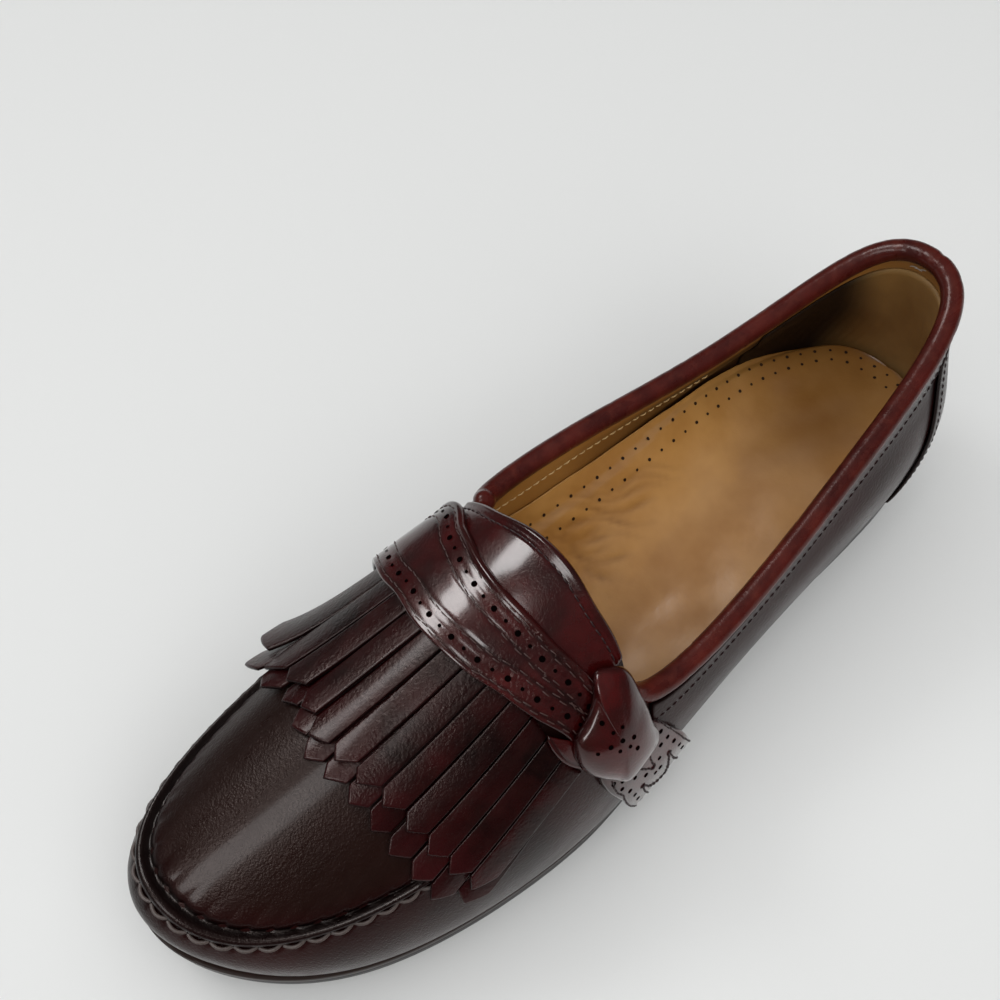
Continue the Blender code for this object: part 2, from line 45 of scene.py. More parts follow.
last = {"length": 300.0, "ballWidth": 100.0, "backHeight": 68.5, "heelHeight": 24.0, "foreHeight": 8.6,
        "toeSpring": 15.0, "archStart": 0.15, "archEnd": 0.60, "springStart": 0.717, "wall": 2.0,
        "fit": 0.3, "lie": 0.5}

# One row for each rib up the last, from the toe round the lateral side to the heel and back
ribColumns = ("along across swell wideUp collarAlong collarAcross collarUp"
              " rise reach drop seam ridge").split()
ribRows = np.array((
    (99.7, -14.0, 2.0, 12, 53.3, -3.0, 116.0, 16, 92, 34, 0.22, 1.8),  # toe tip
    (96.3, 9.5, 2.5, 12, 53.3, 7.0, 114.0, 16, 84, 33, 0.23, 1.8),
    (86.0, 31.5, 4.0, 13, 53.2, 17.0, 107.7, 18, 67, 29, 0.42, 1.7),
    (69.3, 42.5, 4.5, 14, 52.8, 28.0, 94.0, 19, 40, 20, 0.66, 0.2),
    (55.0, 42.0, 4.5, 15, 51.6, 38.0, 66.0, 16, 9, 14, 0.75, 0.0),  # lateral instep
    (38.3, 35.0, 6.0, 17, 37.3, 36.5, 60.0, 12, 1.5, 12, 0.60, 0.0),
    (20.0, 33.0, 3.5, 18, 20.3, 29.5, 69.9, 14, 1.0, 16, 0.50, 0.0),
    (4.7, 24.0, 3.0, 18, 5.0, 19.0, 91.0, 15, 1.0, 20, 0.50, 0.0),
    (0.3, 0.0, 3.0, 18, 1.0, 0.0, 98.0, 15, 1.0, 20, 0.50, 0.0),  # heel back
    (4.7, -24.0, 3.0, 18, 5.0, -18.5, 84.5, 15, 1.0, 20, 0.50, 0.0),
    (20.0, -32.0, 3.5, 18, 20.3, -28.5, 66.5, 14, 1.0, 16, 0.50, 0.0),
    (38.3, -30.5, 5.5, 18, 37.3, -37.0, 71.0, 14, 1.5, 14, 0.60, 0.0),
    (55.0, -38.0, 3.5, 16, 50.0, -39.5, 80.7, 17, 12, 15, 0.75, 0.0),  # medial instep
    (70.7, -47.0, 2.5, 14, 52.3, -33.5, 96.4, 19, 40, 21, 0.66, 0.2),
    (86.0, -46.0, 2.0, 13, 53.2, -23.5, 107.7, 18, 67, 29, 0.42, 1.7),
    (96.3, -34.0, 2.0, 12, 53.3, -13.0, 114.0, 16, 84, 33, 0.23, 1.8),
), float)
ribCount = len(ribRows)


def unit(vectors):
    return vectors / np.linalg.norm(vectors, axis=-1, keepdims=True)


def blend(low, high, share):
    return low + (high - low) * share


def bell(value, half):
    return np.exp(-(value / half) ** 2)


def softStep(low, high, value):
    share = np.clip((value - low) / (high - low), 0, 1)
    return share * share * (3 - 2 * share)


def cubicShares(share):
    return ((1 + 2 * share) * (1 - share) ** 2, share * share * (3 - 2 * share),
            share * (1 - share) ** 2, share * share * (share - 1))


def closedCurve(rows, slopes, at):
    at = np.asarray(at, float)
    start = np.floor(at).astype(int)
    keep, gain, leave, arrive = cubicShares((at - start)[..., None])
    low, high = start % len(rows), (start + 1) % len(rows)
    return keep * rows[low] + gain * rows[high] + leave * slopes[low] + arrive * slopes[high]


def aroundDiff(rows):
    return np.roll(rows, -1, axis=0) - np.roll(rows, 1, axis=0)


ribEye = np.eye(ribCount)
evenBend = 4 * ribEye + np.roll(ribEye, 1, axis=0) + np.roll(ribEye, -1, axis=0)
ribSlopes = np.linalg.solve(evenBend, 3 * aroundDiff(ribRows))


def ribValues(rib):
    values = closedCurve(ribRows, ribSlopes, rib)
    return {name: values[..., i] for i, name in enumerate(ribColumns)}


def soleLine(station):
    share = station / last["length"]
    fall = softStep(last["archStart"], last["archEnd"], share)
    toe = np.clip((share - last["springStart"]) / (1 - last["springStart"]), 0, None)
    return blend(last["heelHeight"], last["foreHeight"], fall) + last["toeSpring"] * toe * toe


def plan(rib):
    def place(at):
        values = ribValues(at)
        return np.stack([values["along"] * last["length"], values["across"] * last["ballWidth"]], -1) / 100
    run = unit(place(rib + 0.01) - place(rib - 0.01))
    return place(rib), np.stack([run[..., 1], -run[..., 0]], -1)


def raiseTo(flat, height):
    return np.concatenate([flat, np.broadcast_to(height, flat.shape[:-1])[..., None]], -1)


def bareSkin(rib, climb):
    rib, climb = np.broadcast_arrays(np.asarray(rib, float), np.asarray(climb, float))
    values = ribValues(rib)
    footFlat, out = plan(rib)
    foot = raiseTo(footFlat, soleLine(footFlat[..., 0]))
    wide = foot + raiseTo(out * values["swell"][..., None], values["wideUp"])
    collarX = values["collarAlong"] * last["length"] / 100
    collarZ = soleLine(collarX) + values["collarUp"] * last["backHeight"] / 100
    collar = np.stack([collarX, values["collarAcross"] * last["ballWidth"] / 100, collarZ], -1)
    inward = collar[..., :2] - wide[..., :2]
    inward = inward / np.maximum(np.linalg.norm(inward, axis=-1, keepdims=True), 1e-6)
    wallTop = wide + np.array([0.0, 0.0, 1.0]) * values["rise"][..., None]
    shoulder = collar - raiseTo(inward * values["reach"][..., None], values["drop"])
    turn = (np.clip(climb + 1, 0, 1) * math.pi / 2)[..., None]
    bow = np.concatenate([np.sin(turn), np.sin(turn), 1 - np.cos(turn)], -1)
    t = np.maximum(climb, 0)[..., None]
    over = ((1 - t) ** 3 * wide + 3 * (1 - t) ** 2 * t * wallTop
            + 3 * (1 - t) * t * t * shoulder + t ** 3 * collar)
    return np.where(climb[..., None] < 0, blend(foot, wide, bow), over)


def outward(rib, climb):
    step = 0.002
    roundShoe = bareSkin(rib + step, climb) - bareSkin(rib - step, climb)
    upShoe = bareSkin(rib, climb + step) - bareSkin(rib, climb - step)
    return unit(np.cross(roundShoe, upShoe))


def skin(rib, climb, stand=0.0):
    rib, climb, stand = np.broadcast_arrays(np.asarray(rib, float), np.asarray(climb, float), stand)
    return bareSkin(rib, climb) + outward(rib, climb) * stand[..., None]


def onSkin(rib, climb, stand, facing=1):
    # points of a row and the directions that they face
    return skin(rib, climb, stand), facing * outward(rib, climb)


def climbLength(rib, climb):
    # millimetres up the skin for one unit of climb
    step = 0.01
    return np.linalg.norm(bareSkin(rib, climb + step) - bareSkin(rib, climb - step), axis=-1) / (2 * step)


def runLength(points):
    steps = np.linalg.norm(np.diff(points, axis=0), axis=-1)
    return np.concatenate([np.zeros((1,) + steps.shape[1:]), np.cumsum(steps, axis=0)])


def edgeRuns(sheet):
    # distances over a sheet from its first and last column, and from its first and last row
    width, length = runLength(sheet.transpose(1, 0, 2)).T, runLength(sheet)
    return width, width[:, -1:] - width, length, length[-1:] - length


def smoothAt(run, table, at):
    # values on a smooth curve through the table's rows, which lie at the places in run
    slopes = np.gradient(table, run, axis=0)
    low = np.clip(np.searchsorted(run, at, side="right") - 1, 0, len(table) - 2)
    step = (run[low + 1] - run[low])[..., None]
    keep, gain, leave, arrive = cubicShares((at - run[low])[..., None] / step)
    return keep * table[low] + gain * table[low + 1] + (leave * slopes[low] + arrive * slopes[low + 1]) * step


# Meshes
def gridQuads(rows, columns, closed=False):
    i = np.arange(rows if closed else rows - 1)[:, None]
    j = np.arange(columns - 1)[None, :]
    here, after = i * columns + j, (i + 1) % rows * columns + j
    return np.stack([here, after, after + 1, here + 1], -1).reshape(-1, 4)


def closedSheet(outer, inner, closed=False):
    rows, columns = outer.shape[:2]
    under = inner.shape[1]
    base = rows * columns
    quads = [gridQuads(rows, columns, closed), gridQuads(rows, under, closed)[:, ::-1] + base]
    i = np.arange(rows)
    if closed:
        low, high = i * columns, i * columns + columns - 1
        lowIn, highIn = base + i * under, base + i * under + under - 1
        quads.append(np.stack([np.roll(low, -1), low, lowIn, np.roll(lowIn, -1)], -1))
        quads.append(np.stack([high, np.roll(high, -1), np.roll(highIn, -1), highIn], -1))
    else:
        j = np.arange(columns)
        loop = np.concatenate([i * columns, (rows - 1) * columns + j[1:],
                               (i * columns + columns - 1)[::-1][1:], j[::-1][1:-1]])
        nextOne = np.roll(loop, -1)
        quads.append(np.stack([nextOne, loop, loop + base, nextOne + base], -1))
    points = np.concatenate([outer.reshape(-1, 3), inner.reshape(-1, 3)])
    return points, np.concatenate(quads)


def newPiece(name, points, faces):
    mesh = bpy.data.meshes.new(name)
    placed = (np.asarray(points) + standShift) * mm
    mesh.from_pydata(placed.tolist(), [], faces.tolist() if isinstance(faces, np.ndarray) else faces)
    mesh.shade_smooth()
    piece = bpy.data.objects.new(name, mesh)
    scene.collection.objects.link(piece)
    return piece


def paint(piece, attribute, values, rest=0.0):
    # values for the first points of the mesh, and one value for the rest
    full = np.full(len(piece.data.vertices), rest, np.float32)
    full[:np.size(values)] = np.ravel(values)
    layer = piece.data.attributes.new(attribute, "FLOAT", "POINT")
    layer.data.foreach_set("value", full)


def dress(piece, material, slot, *nodes):
    piece.data.materials.clear()
    piece.data.materials.append(material)
    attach(piece, "root")
    if nodes:
        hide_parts(*nodes)


def edgeDrop(distance, radius):
    inside = np.clip(distance, 0, radius)
    return radius - np.sqrt(np.maximum(radius ** 2 - (radius - inside) ** 2, 0))


def borderShares(count, close):
    # places across a sheet, closer together at its two edges
    edge = np.array([0.0, 0.2, 0.5, 0.85]) * close
    return np.concatenate([edge, np.linspace(close * 1.4, 1 - close * 1.4, count), 1 - edge[::-1]])


# Materials
def hexColor(code):
    parts = [int(code[i:i + 2], 16) / 255 for i in (1, 3, 5)]
    return tuple(p / 12.92 if p <= 0.04045 else ((p + 0.055) / 1.055) ** 2.4 for p in parts) + (1.0,)


def wire(tree, node, inputs):
    # a node gives its first output, a hex code its colour, and any other value is set as it is
    for socket, value in inputs.items():
        if isinstance(value, bpy.types.Node):
            value = next(output for output in value.outputs if output.enabled)
        if isinstance(value, bpy.types.NodeSocket):
            tree.links.new(value, node.inputs[socket])
        else:
            coded = isinstance(value, str) and value.startswith("#")
            node.inputs[socket].default_value = hexColor(value) if coded else value


def addNode(tree, kind, inputs=None, **settings):
    node = tree.nodes.new(kind)
    for key, value in settings.items():
        setattr(node, key, value)
    wire(tree, node, inputs or {})
    return node


def newMaterial(name):
    material = bpy.data.materials.new(name)
    material.use_nodes = True
    tree = material.node_tree
    where = addNode(tree, "ShaderNodeTexCoord").outputs["Object"]
    return material, tree, tree.nodes["Principled BSDF"], where


def polishedCalf(name, look):
    # Aniline-dyed calf, waxed and brushed: dark dye pooled in the grain, redder where rubbed, satin gloss
    material, tree, shader, where = newMaterial(name)
    tone, shade, wear = (addNode(tree, "ShaderNodeAttribute", attribute_name=key).outputs["Fac"]
                         for key in ("tone", "shade", "wear"))
    cloud = addNode(tree, "ShaderNodeTexNoise", {
        "Vector": where, "Scale": 1 / (look["cloudMm"] * mm), "Detail": 3.0, "Roughness": 0.55})
    clouded = addNode(tree, "ShaderNodeMapRange", {"Value": cloud, "From Min": 0.36, "From Max": 0.68})
    # mottled burnish, about 4 mm patches
    mottle = addNode(tree, "ShaderNodeTexNoise", {
        "Vector": where, "Scale": 1 / (4 * mm), "Detail": 4.0, "Roughness": 0.6})
    burnish = addNode(tree, "ShaderNodeMapRange", {
        "Value": mottle, "From Min": 0.45, "From Max": 0.75, "To Max": look["mottle"]})
    # tone is painted on worn edges and the browner apron, shade in seams and under edges
    color = look["dark"]
    for factor, tint in (clouded, "red"), (burnish, "warm"), (tone, "worn"), (shade, "deep"):
        color = addNode(tree, "ShaderNodeMix", {"Factor": factor, "A": color, "B": look[tint]},
                        data_type="RGBA")
    # rubbed streaks: 25 mm long, 4 mm wide
    streakAt = addNode(tree, "ShaderNodeMapping", {
        "Vector": where, "Rotation": (0.2, 0.1, 0.7), "Scale": (1 / (25 * mm), 1 / (4 * mm), 1 / (8 * mm))})
    streak = addNode(tree, "ShaderNodeTexNoise", {"Vector": streakAt, "Scale": 1.0, "Detail": 2.0})
    rubbed = addNode(tree, "ShaderNodeMapRange", {
        "Value": streak, "From Min": 0.3, "From Max": 0.75, "To Min": look["gloss"], "To Max": look["matte"]})
    uneven = addNode(tree, "ShaderNodeMath", {0: mottle, 1: 0.12, 2: -0.06}, operation="MULTIPLY_ADD")
    rough = addNode(tree, "ShaderNodeMath", {0: rubbed, 1: uneven}, operation="ADD")
    # grain: pores about 0.6 mm across, drawn as 0.9 mm so that they show
    grain = addNode(tree, "ShaderNodeTexVoronoi", {"Vector": where, "Scale": 1 / (0.9 * mm)},
                    feature="SMOOTH_F1")
    fine = addNode(tree, "ShaderNodeTexNoise", {"Vector": where, "Scale": 1 / (0.5 * mm), "Detail": 2.0})
    pores = addNode(tree, "ShaderNodeMath", {0: grain, 1: 0.6, 2: fine}, operation="MULTIPLY_ADD")
    # crackle of flexed leather, cells about 2 mm across, only where wear is painted
    cells = addNode(tree, "ShaderNodeTexVoronoi", {"Vector": where, "Scale": 1 / (2.0 * mm)},
                    feature="DISTANCE_TO_EDGE")
    crackle = addNode(tree, "ShaderNodeMath", {0: cells, 1: wear}, operation="MULTIPLY")
    height = addNode(tree, "ShaderNodeMath", {0: crackle, 1: 7.0, 2: pores}, operation="MULTIPLY_ADD")
    bump = addNode(tree, "ShaderNodeBump", {
        "Height": height, "Strength": look["grain"], "Distance": 0.22 * mm})
    wire(tree, shader, {"Base Color": color, "Roughness": rough, "Normal": bump, "IOR": 1.26,
                        "Specular Tint": (1.0, 0.83, 0.77, 1.0), "Coat Weight": look["coat"],
                        "Coat Roughness": 0.14, "Coat IOR": 1.40})
    return material


upperLook = {"dark": "#110303", "red": "#260707", "warm": "#230b08", "worn": "#1a0b07", "deep": "#050101",
             "cloudMm": 40, "mottle": 0.5, "gloss": 0.26, "matte": 0.38, "grain": 0.55, "coat": 0.2}
oxbloodCalf = polishedCalf("oxbloodCalf", upperLook)
strapCalf = polishedCalf("strapCalf", {
    **upperLook, "dark": "#220405", "red": "#460a0a", "cloudMm": 22, "gloss": 0.18, "matte": 0.28,
    "grain": 0.45, "coat": 1.0})
fringeCalf = polishedCalf("fringeCalf", {
    **upperLook, "red": "#2b0607", "worn": "#420d12", "cloudMm": 14, "gloss": 0.22, "grain": 0.5})
bindingCalf = polishedCalf("bindingCalf", {
    **upperLook, "dark": "#38110f", "red": "#4e1914", "warm": "#5c261c", "cloudMm": 12, "gloss": 0.24,
    "matte": 0.36, "grain": 0.4})


def tanLeather(name, base, pale, stainAndShade, gloss, matte):
    # Vegetable-tanned sock and lining leather: honey tan, polished by the foot, darker where tone is painted:
    # at the sock's heel, and painted shade in its wrinkles and inside the medial heel
    material, tree, shader, where = newMaterial(name)
    cloud = addNode(tree, "ShaderNodeTexNoise", {
        "Vector": where, "Scale": 1 / (35 * mm), "Detail": 4.0, "Roughness": 0.6})
    clouded = addNode(tree, "ShaderNodeMapRange", {"Value": cloud, "From Min": 0.35, "From Max": 0.7})
    color = addNode(tree, "ShaderNodeMix", {"Factor": clouded, "A": base, "B": pale}, data_type="RGBA")
    tone = addNode(tree, "ShaderNodeAttribute", attribute_name="tone").outputs["Fac"]
    toned = addNode(tree, "ShaderNodeMix", {"Factor": tone, "A": color, "B": stainAndShade}, data_type="RGBA")
    rough = addNode(tree, "ShaderNodeMapRange", {
        "Value": cloud, "From Min": 0.3, "From Max": 0.7, "To Min": gloss, "To Max": matte})
    # pores about 1 mm apart, with fine wrinkles of 3 mm
    pores = addNode(tree, "ShaderNodeTexVoronoi", {"Vector": where, "Scale": 1 / (1.1 * mm)})
    wrinkle = addNode(tree, "ShaderNodeTexNoise", {"Vector": where, "Scale": 1 / (3 * mm), "Detail": 3.0})
    height = addNode(tree, "ShaderNodeMath", {0: pores, 1: 0.25, 2: wrinkle}, operation="MULTIPLY_ADD")
    bump = addNode(tree, "ShaderNodeBump", {"Height": height, "Strength": 0.35, "Distance": 0.2 * mm})
    wire(tree, shader, {"Base Color": toned, "Roughness": rough, "Normal": bump})
    return material


# the third colour goes where tone is painted: the darker heel and painted shade in the wrinkles of the sock,
# and painted shade in the medial heel of the lining and counter
insoleTan = tanLeather("insoleTan", "#a06f35", "#bd8c4b", "#6e4318", 0.28, 0.5)
liningTan = tanLeather("liningTan", "#94632c", "#ad7b3d", "#2a170a", 0.42, 0.6)
counterSuede = tanLeather("counterSuede", "#8a642e", "#a98245", "#1d1108", 0.6, 0.85)


def edgeDye(name, color, streak, rough, layerMm):
    # Leather or rubber edge, sanded and dyed: nearly black, fine lines along the layers
    material, tree, shader, where = newMaterial(name)
    layerAt = addNode(tree, "ShaderNodeMapping", {
        "Vector": where, "Scale": (1 / (30 * mm), 1 / (30 * mm), 1 / (layerMm * mm))})
    layers = addNode(tree, "ShaderNodeTexNoise", {"Vector": layerAt, "Scale": 1.0, "Detail": 3.0})
    mix = addNode(tree, "ShaderNodeMix", {"Factor": layers, "A": color, "B": streak}, data_type="RGBA")
    sanded = addNode(tree, "ShaderNodeMapRange", {
        "Value": layers, "To Min": rough - 0.1, "To Max": rough + 0.1})
    bump = addNode(tree, "ShaderNodeBump", {"Height": layers, "Strength": 0.3, "Distance": 0.1 * mm})
    wire(tree, shader, {"Base Color": mix, "Roughness": sanded, "Normal": bump})
    return material


welt = edgeDye("weltEdge", "#1c100c", "#2c1a13", 0.42, 0.6)
soleBlack = edgeDye("soleEdge", "#0d0b0b", "#1a1615", 0.45, 0.8)
heelBlack = edgeDye("heelEdge", "#0e0d0d", "#1d1a1a", 0.48, 1.2)
rubber = edgeDye("heelRubber", "#141414", "#232323", 0.62, 1.5)


def threadMaterial(name, color, light, rough=0.5, shine=0.5):
    # Waxed sewing thread: two plies, so a fine twist shows along each stitch
    material, tree, shader, where = newMaterial(name)
    ply = addNode(tree, "ShaderNodeTexNoise", {"Vector": where, "Scale": 1 / (0.6 * mm), "Detail": 2.0})
    mix = addNode(tree, "ShaderNodeMix", {"Factor": ply, "A": color, "B": light}, data_type="RGBA")
    wire(tree, shader, {"Base Color": mix, "Roughness": rough, "Specular IOR Level": shine})
    return material


darkThread = threadMaterial("darkThread", "#140708", "#2b1213")
seamThread = threadMaterial("seamThread", "#25120f", "#523a36")
loopThread = threadMaterial("loopThread", "#2e2320", "#5f524d")
paleThread = threadMaterial("paleThread", "#b08a52", "#d8bd8a")
whiteThread = threadMaterial("whiteThread", "#b9b2a6", "#e6e1d8")
# flat dark discs for holes: painted shade inside the sock's pinholes and the punched holes
pinholeShade = threadMaterial("insolePinholeShade", "#1c0e05", "#2c180a")
holeShade = threadMaterial("punchedHoleShade", "#040202", "#080404", 1.0, 0.0)
print("materials ready")


# Geometry nodes: thread stitches and punched holes along a path
def rowTree(name, lengths, others):
    tree = bpy.data.node_groups.new(name, "GeometryNodeTree")
    for label, kind in (("Geometry", "Geometry"), *((length, "Float") for length in lengths), *others):
        tree.interface.new_socket(label, in_out="INPUT", socket_type="NodeSocket" + kind)
    tree.interface.new_socket("Geometry", in_out="OUTPUT", socket_type="NodeSocketGeometry")
    given = addNode(tree, "NodeGroupInput").outputs
    path = addNode(tree, "GeometryNodeMeshToCurve", {"Mesh": given["Geometry"]})
    spaced = addNode(tree, "GeometryNodeResampleCurve", {"Curve": path, "Length": given["Pitch"]},
                     mode="LENGTH")
    faceOut = addNode(tree, "GeometryNodeInputNamedAttribute", {"Name": "faceOut"}, data_type="FLOAT_VECTOR")
    return tree, given, spaced, faceOut


rowLengths = {"stitch": ("Pitch", "Length", "Thickness", "Bow"), "hole": ("Pitch", "Radius", "Small Radius")}
stitchTree, given, spaced, faceOut = rowTree(
    "stitchRow", rowLengths["stitch"],
    (("Lean", "Float"), ("Jitter", "Float"), ("Seed", "Int"), ("Material", "Material")))
tangent = addNode(stitchTree, "GeometryNodeInputTangent")
along = addNode(stitchTree, "FunctionNodeAlignRotationToVector", {"Vector": tangent}, axis="X")
upright = addNode(stitchTree, "FunctionNodeAlignRotationToVector", {"Rotation": along, "Vector": faceOut},
                  axis="Z", pivot_axis="X")
wander = addNode(stitchTree, "FunctionNodeRandomValue", {2: -1.0, 3: 1.0, "Seed": given["Seed"]},
                 data_type="FLOAT")
leanBy = addNode(stitchTree, "ShaderNodeMath", {0: wander, 1: given["Jitter"], 2: given["Lean"]},
                 operation="MULTIPLY_ADD")
leanSpin = addNode(stitchTree, "ShaderNodeCombineXYZ", {"Z": leanBy})
leanTurn = addNode(stitchTree, "FunctionNodeEulerToRotation", {"Euler": leanSpin})
turned = addNode(stitchTree, "FunctionNodeRotateRotation", {"Rotation": upright, "Rotate By": leanTurn},
                 rotation_space="LOCAL")
# one stitch: a thread that dips into the leather at both ends, bowed to the side where it is a loop
start, end, dip, crest, radius, pull = (
    addNode(stitchTree, "ShaderNodeMath", {0: given[source], 1: times}, operation="MULTIPLY")
    for source, times in (("Length", -0.5), ("Length", 0.5), ("Thickness", -0.6), ("Thickness", 1.0),
                          ("Thickness", 0.5), ("Bow", -2.0)))
threadEnds = [addNode(stitchTree, "ShaderNodeCombineXYZ", {"X": at, "Z": dip}) for at in (start, end)]
threadMiddle = addNode(stitchTree, "ShaderNodeCombineXYZ", {"Y": pull, "Z": crest})
threadLine = addNode(stitchTree, "GeometryNodeCurveQuadraticBezier", {
    "Resolution": 6, "Start": threadEnds[0], "Middle": threadMiddle, "End": threadEnds[1]})
threadRound = addNode(stitchTree, "GeometryNodeCurvePrimitiveCircle", {"Resolution": 6, "Radius": radius})
stitchShape = addNode(stitchTree, "GeometryNodeCurveToMesh", {
    "Curve": threadLine, "Profile Curve": threadRound, "Fill Caps": True})
sewn = addNode(stitchTree, "GeometryNodeInstanceOnPoints", {
    "Points": spaced, "Instance": stitchShape, "Rotation": turned})
real = addNode(stitchTree, "GeometryNodeRealizeInstances", {"Geometry": sewn})
smoothed = addNode(stitchTree, "GeometryNodeSetShadeSmooth", {"Geometry": real})
finished = addNode(stitchTree, "GeometryNodeSetMaterial", {
    "Geometry": smoothed, "Material": given["Material"]})
addNode(stitchTree, "NodeGroupOutput", {"Geometry": finished})

holeTree, given, spaced, faceOut = rowTree("holeRow", rowLengths["hole"], (("Material", "Material"),))
upright = addNode(holeTree, "FunctionNodeAlignRotationToVector", {"Vector": faceOut}, axis="Z")
number = addNode(holeTree, "GeometryNodeInputIndex")
odd = addNode(holeTree, "ShaderNodeMath", {0: number, 1: 2.0}, operation="MODULO")
bore = addNode(holeTree, "ShaderNodeMix", {
    "Factor": odd, "A": given["Radius"], "B": given["Small Radius"]}, data_type="FLOAT")
holeShape = addNode(holeTree, "GeometryNodeMeshCircle", {"Vertices": 12, "Radius": 1.0},
                    fill_type="TRIANGLE_FAN")
punched = addNode(holeTree, "GeometryNodeInstanceOnPoints", {
    "Points": spaced, "Instance": holeShape, "Rotation": upright, "Scale": bore})
real = addNode(holeTree, "GeometryNodeRealizeInstances", {"Geometry": punched})
finished = addNode(holeTree, "GeometryNodeSetMaterial", {"Geometry": real, "Material": given["Material"]})
addNode(holeTree, "NodeGroupOutput", {"Geometry": finished})


def alongPath(name, paths, tree, sizes):
    # paths: pairs of points (mm) and outward directions, one chain of edges each; lengths in sizes are in mm
    points, normals, edges = [], [], []
    for line, out in paths:
        start = len(points)
        points.extend(((np.asarray(line) + standShift) * mm).tolist())
        normals.extend(np.asarray(out).tolist())
        edges.extend((start + k, start + k + 1) for k in range(len(line) - 1))
    mesh = bpy.data.meshes.new(name)
    mesh.from_pydata(points, edges, [])
    layer = mesh.attributes.new("faceOut", "FLOAT_VECTOR", "POINT")
    layer.data.foreach_set("vector", np.asarray(normals, np.float32).ravel())
    piece = bpy.data.objects.new(name, mesh)
    scene.collection.objects.link(piece)
    rows = piece.modifiers.new("rows", "NODES")
    rows.node_group = tree
    lengths = rowLengths["stitch"] + rowLengths["hole"]
    for item in tree.interface.items_tree:
        if item.in_out == "INPUT" and item.name in sizes:
            value = sizes[item.name]
            rows[item.identifier] = value * mm if item.name in lengths else value
    bpy.context.view_layer.update()
    view = bpy.context.evaluated_depsgraph_get()
    plain = bpy.data.meshes.new_from_object(piece.evaluated_get(view))
    piece.modifiers.remove(rows)
    piece.data = plain
    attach(piece, "root")


# Upper: the moccasin seam with its gathers, then the quarters
upper = {"ringFront": 440, "ringBack": 170, "frontTo": 3.7, "rowsBelow": 32, "rowsAbove": 44, "highest": 0.97,
         "seamRows": (-12, -10, -8.5, -7.2, -6.2, -5.3, -4.6, -4.0, -3.4, -2.9, -2.4, -1.9, -1.4, -0.9, -0.4,
                      0.1, 0.6, 1.1, 1.6, 2.1, 2.6, 3.1, 3.6, 4.2, 5, 6, 7.5, 9.5, 12),
         "ropeHigh": 1.7, "ropeHalf": 2.0, "pitch": 6.8, "gatherHigh": 0.7, "gatherReach": 3.5,
         "grooveDeep": 1.1, "grooveAt": 2.9, "grooveHalf": 1.2, "loopAt": -2.4, "loopLift": 0.6,
         "leather": 1.1, "fullRidge": 1.8}

frontRing = np.linspace(-upper["frontTo"], upper["frontTo"], upper["ringFront"], endpoint=False)
backRing = np.linspace(upper["frontTo"], ribCount - upper["frontTo"], upper["ringBack"], endpoint=False)
ring = np.concatenate([frontRing, backRing])
seamClimb = ribValues(ring)["seam"]
climbScale = climbLength(ring, seamClimb)
seamRibs = np.linspace(-2.9, 2.9, 900)
loopClimb = ribValues(seamRibs)["seam"]
loopClimb = loopClimb + upper["loopAt"] / climbLength(seamRibs, loopClimb)
loopPath = onSkin(seamRibs, loopClimb, upper["loopLift"])
loopRun = runLength(loopPath[0])
loopPitch = loopRun[-1] / round(loopRun[-1] / upper["pitch"])

seamRows = np.array(upper["seamRows"])[None, :] / climbScale[:, None]
seamRows = seamRows * np.minimum(1, (upper["highest"] - seamClimb) / seamRows[:, -1])[:, None]
lowEnd = (seamClimb + seamRows[:, 0])[:, None]
highEnd = (seamClimb + seamRows[:, -1])[:, None]
belowShare = np.linspace(0, 1, upper["rowsBelow"], endpoint=False)[None, :]
aboveShare = np.linspace(0, 1, upper["rowsAbove"] + 1)[None, 1:]
climbs = np.concatenate([blend(-1, lowEnd, belowShare), seamClimb[:, None] + seamRows,
                         blend(highEnd, 1, aboveShare)], axis=1)
offset = (climbs - seamClimb[:, None]) * climbScale[:, None]
strength = np.clip(ribValues(ring)["ridge"], 0, None)[:, None] / upper["fullRidge"]
# rope on the seam, gathers below it, a groove with dimples above it
fromToe = np.where(ring > ribCount / 2, ring - ribCount, ring)
wave = np.abs(np.cos(math.pi * np.interp(fromToe, seamRibs, loopRun) / loopPitch))[:, None]
rope = upper["ropeHigh"] * np.maximum(1 - (offset / upper["ropeHalf"]) ** 2, 0) ** 0.6
below = np.clip(-offset - upper["ropeHalf"] * 0.8, 0, None)
gather = np.where(offset < 0, upper["gatherHigh"] * (wave ** 0.6 - 0.55) * bell(below, upper["gatherReach"])
                  * softStep(0, 1.2, -offset - 1.2), 0)
groove = -upper["grooveDeep"] * bell(offset - upper["grooveAt"], upper["grooveHalf"])
dimple = -0.5 * (1 - wave) ** 2 * bell(offset - upper["grooveAt"] - 0.6, 1.2)
pucker = 0.22 * (wave - 0.6) * bell(offset - 6.0, 2.5)
outerSkin = skin(ring[:, None], climbs, strength * (rope + gather + groove + dimple + pucker))
innerSkin = skin(ring[:, None], np.linspace(-1, 1, 20)[None, :], -upper["leather"])
upperPiece = newPiece("upperLeather", *closedSheet(outerSkin, innerSkin, closed=True))
grooveShade = strength * (0.95 * bell(offset - upper["grooveAt"], 1.7) + 0.65 * bell(offset, 2.2)
                          + 0.6 * bell(offset + 2.3, 0.9))
paint(upperPiece, "tone", softStep(3.5, 12, offset) * strength * 0.75)
paint(upperPiece, "shade", np.clip(grooveShade, 0, 1))
dress(upperPiece, oxbloodCalf, "oxblood_leather", "upper")
# long loops of the hand-sewn seam, outside the rope
alongPath("seamLoops", [loopPath], stitchTree, {
    "Pitch": loopPitch, "Length": 6.2, "Thickness": 1.2, "Lean": 0.05, "Jitter": 0.06, "Bow": 0.9, "Seed": 3,
    "Material": loopThread})
print("upper", len(upperPiece.data.polygons))

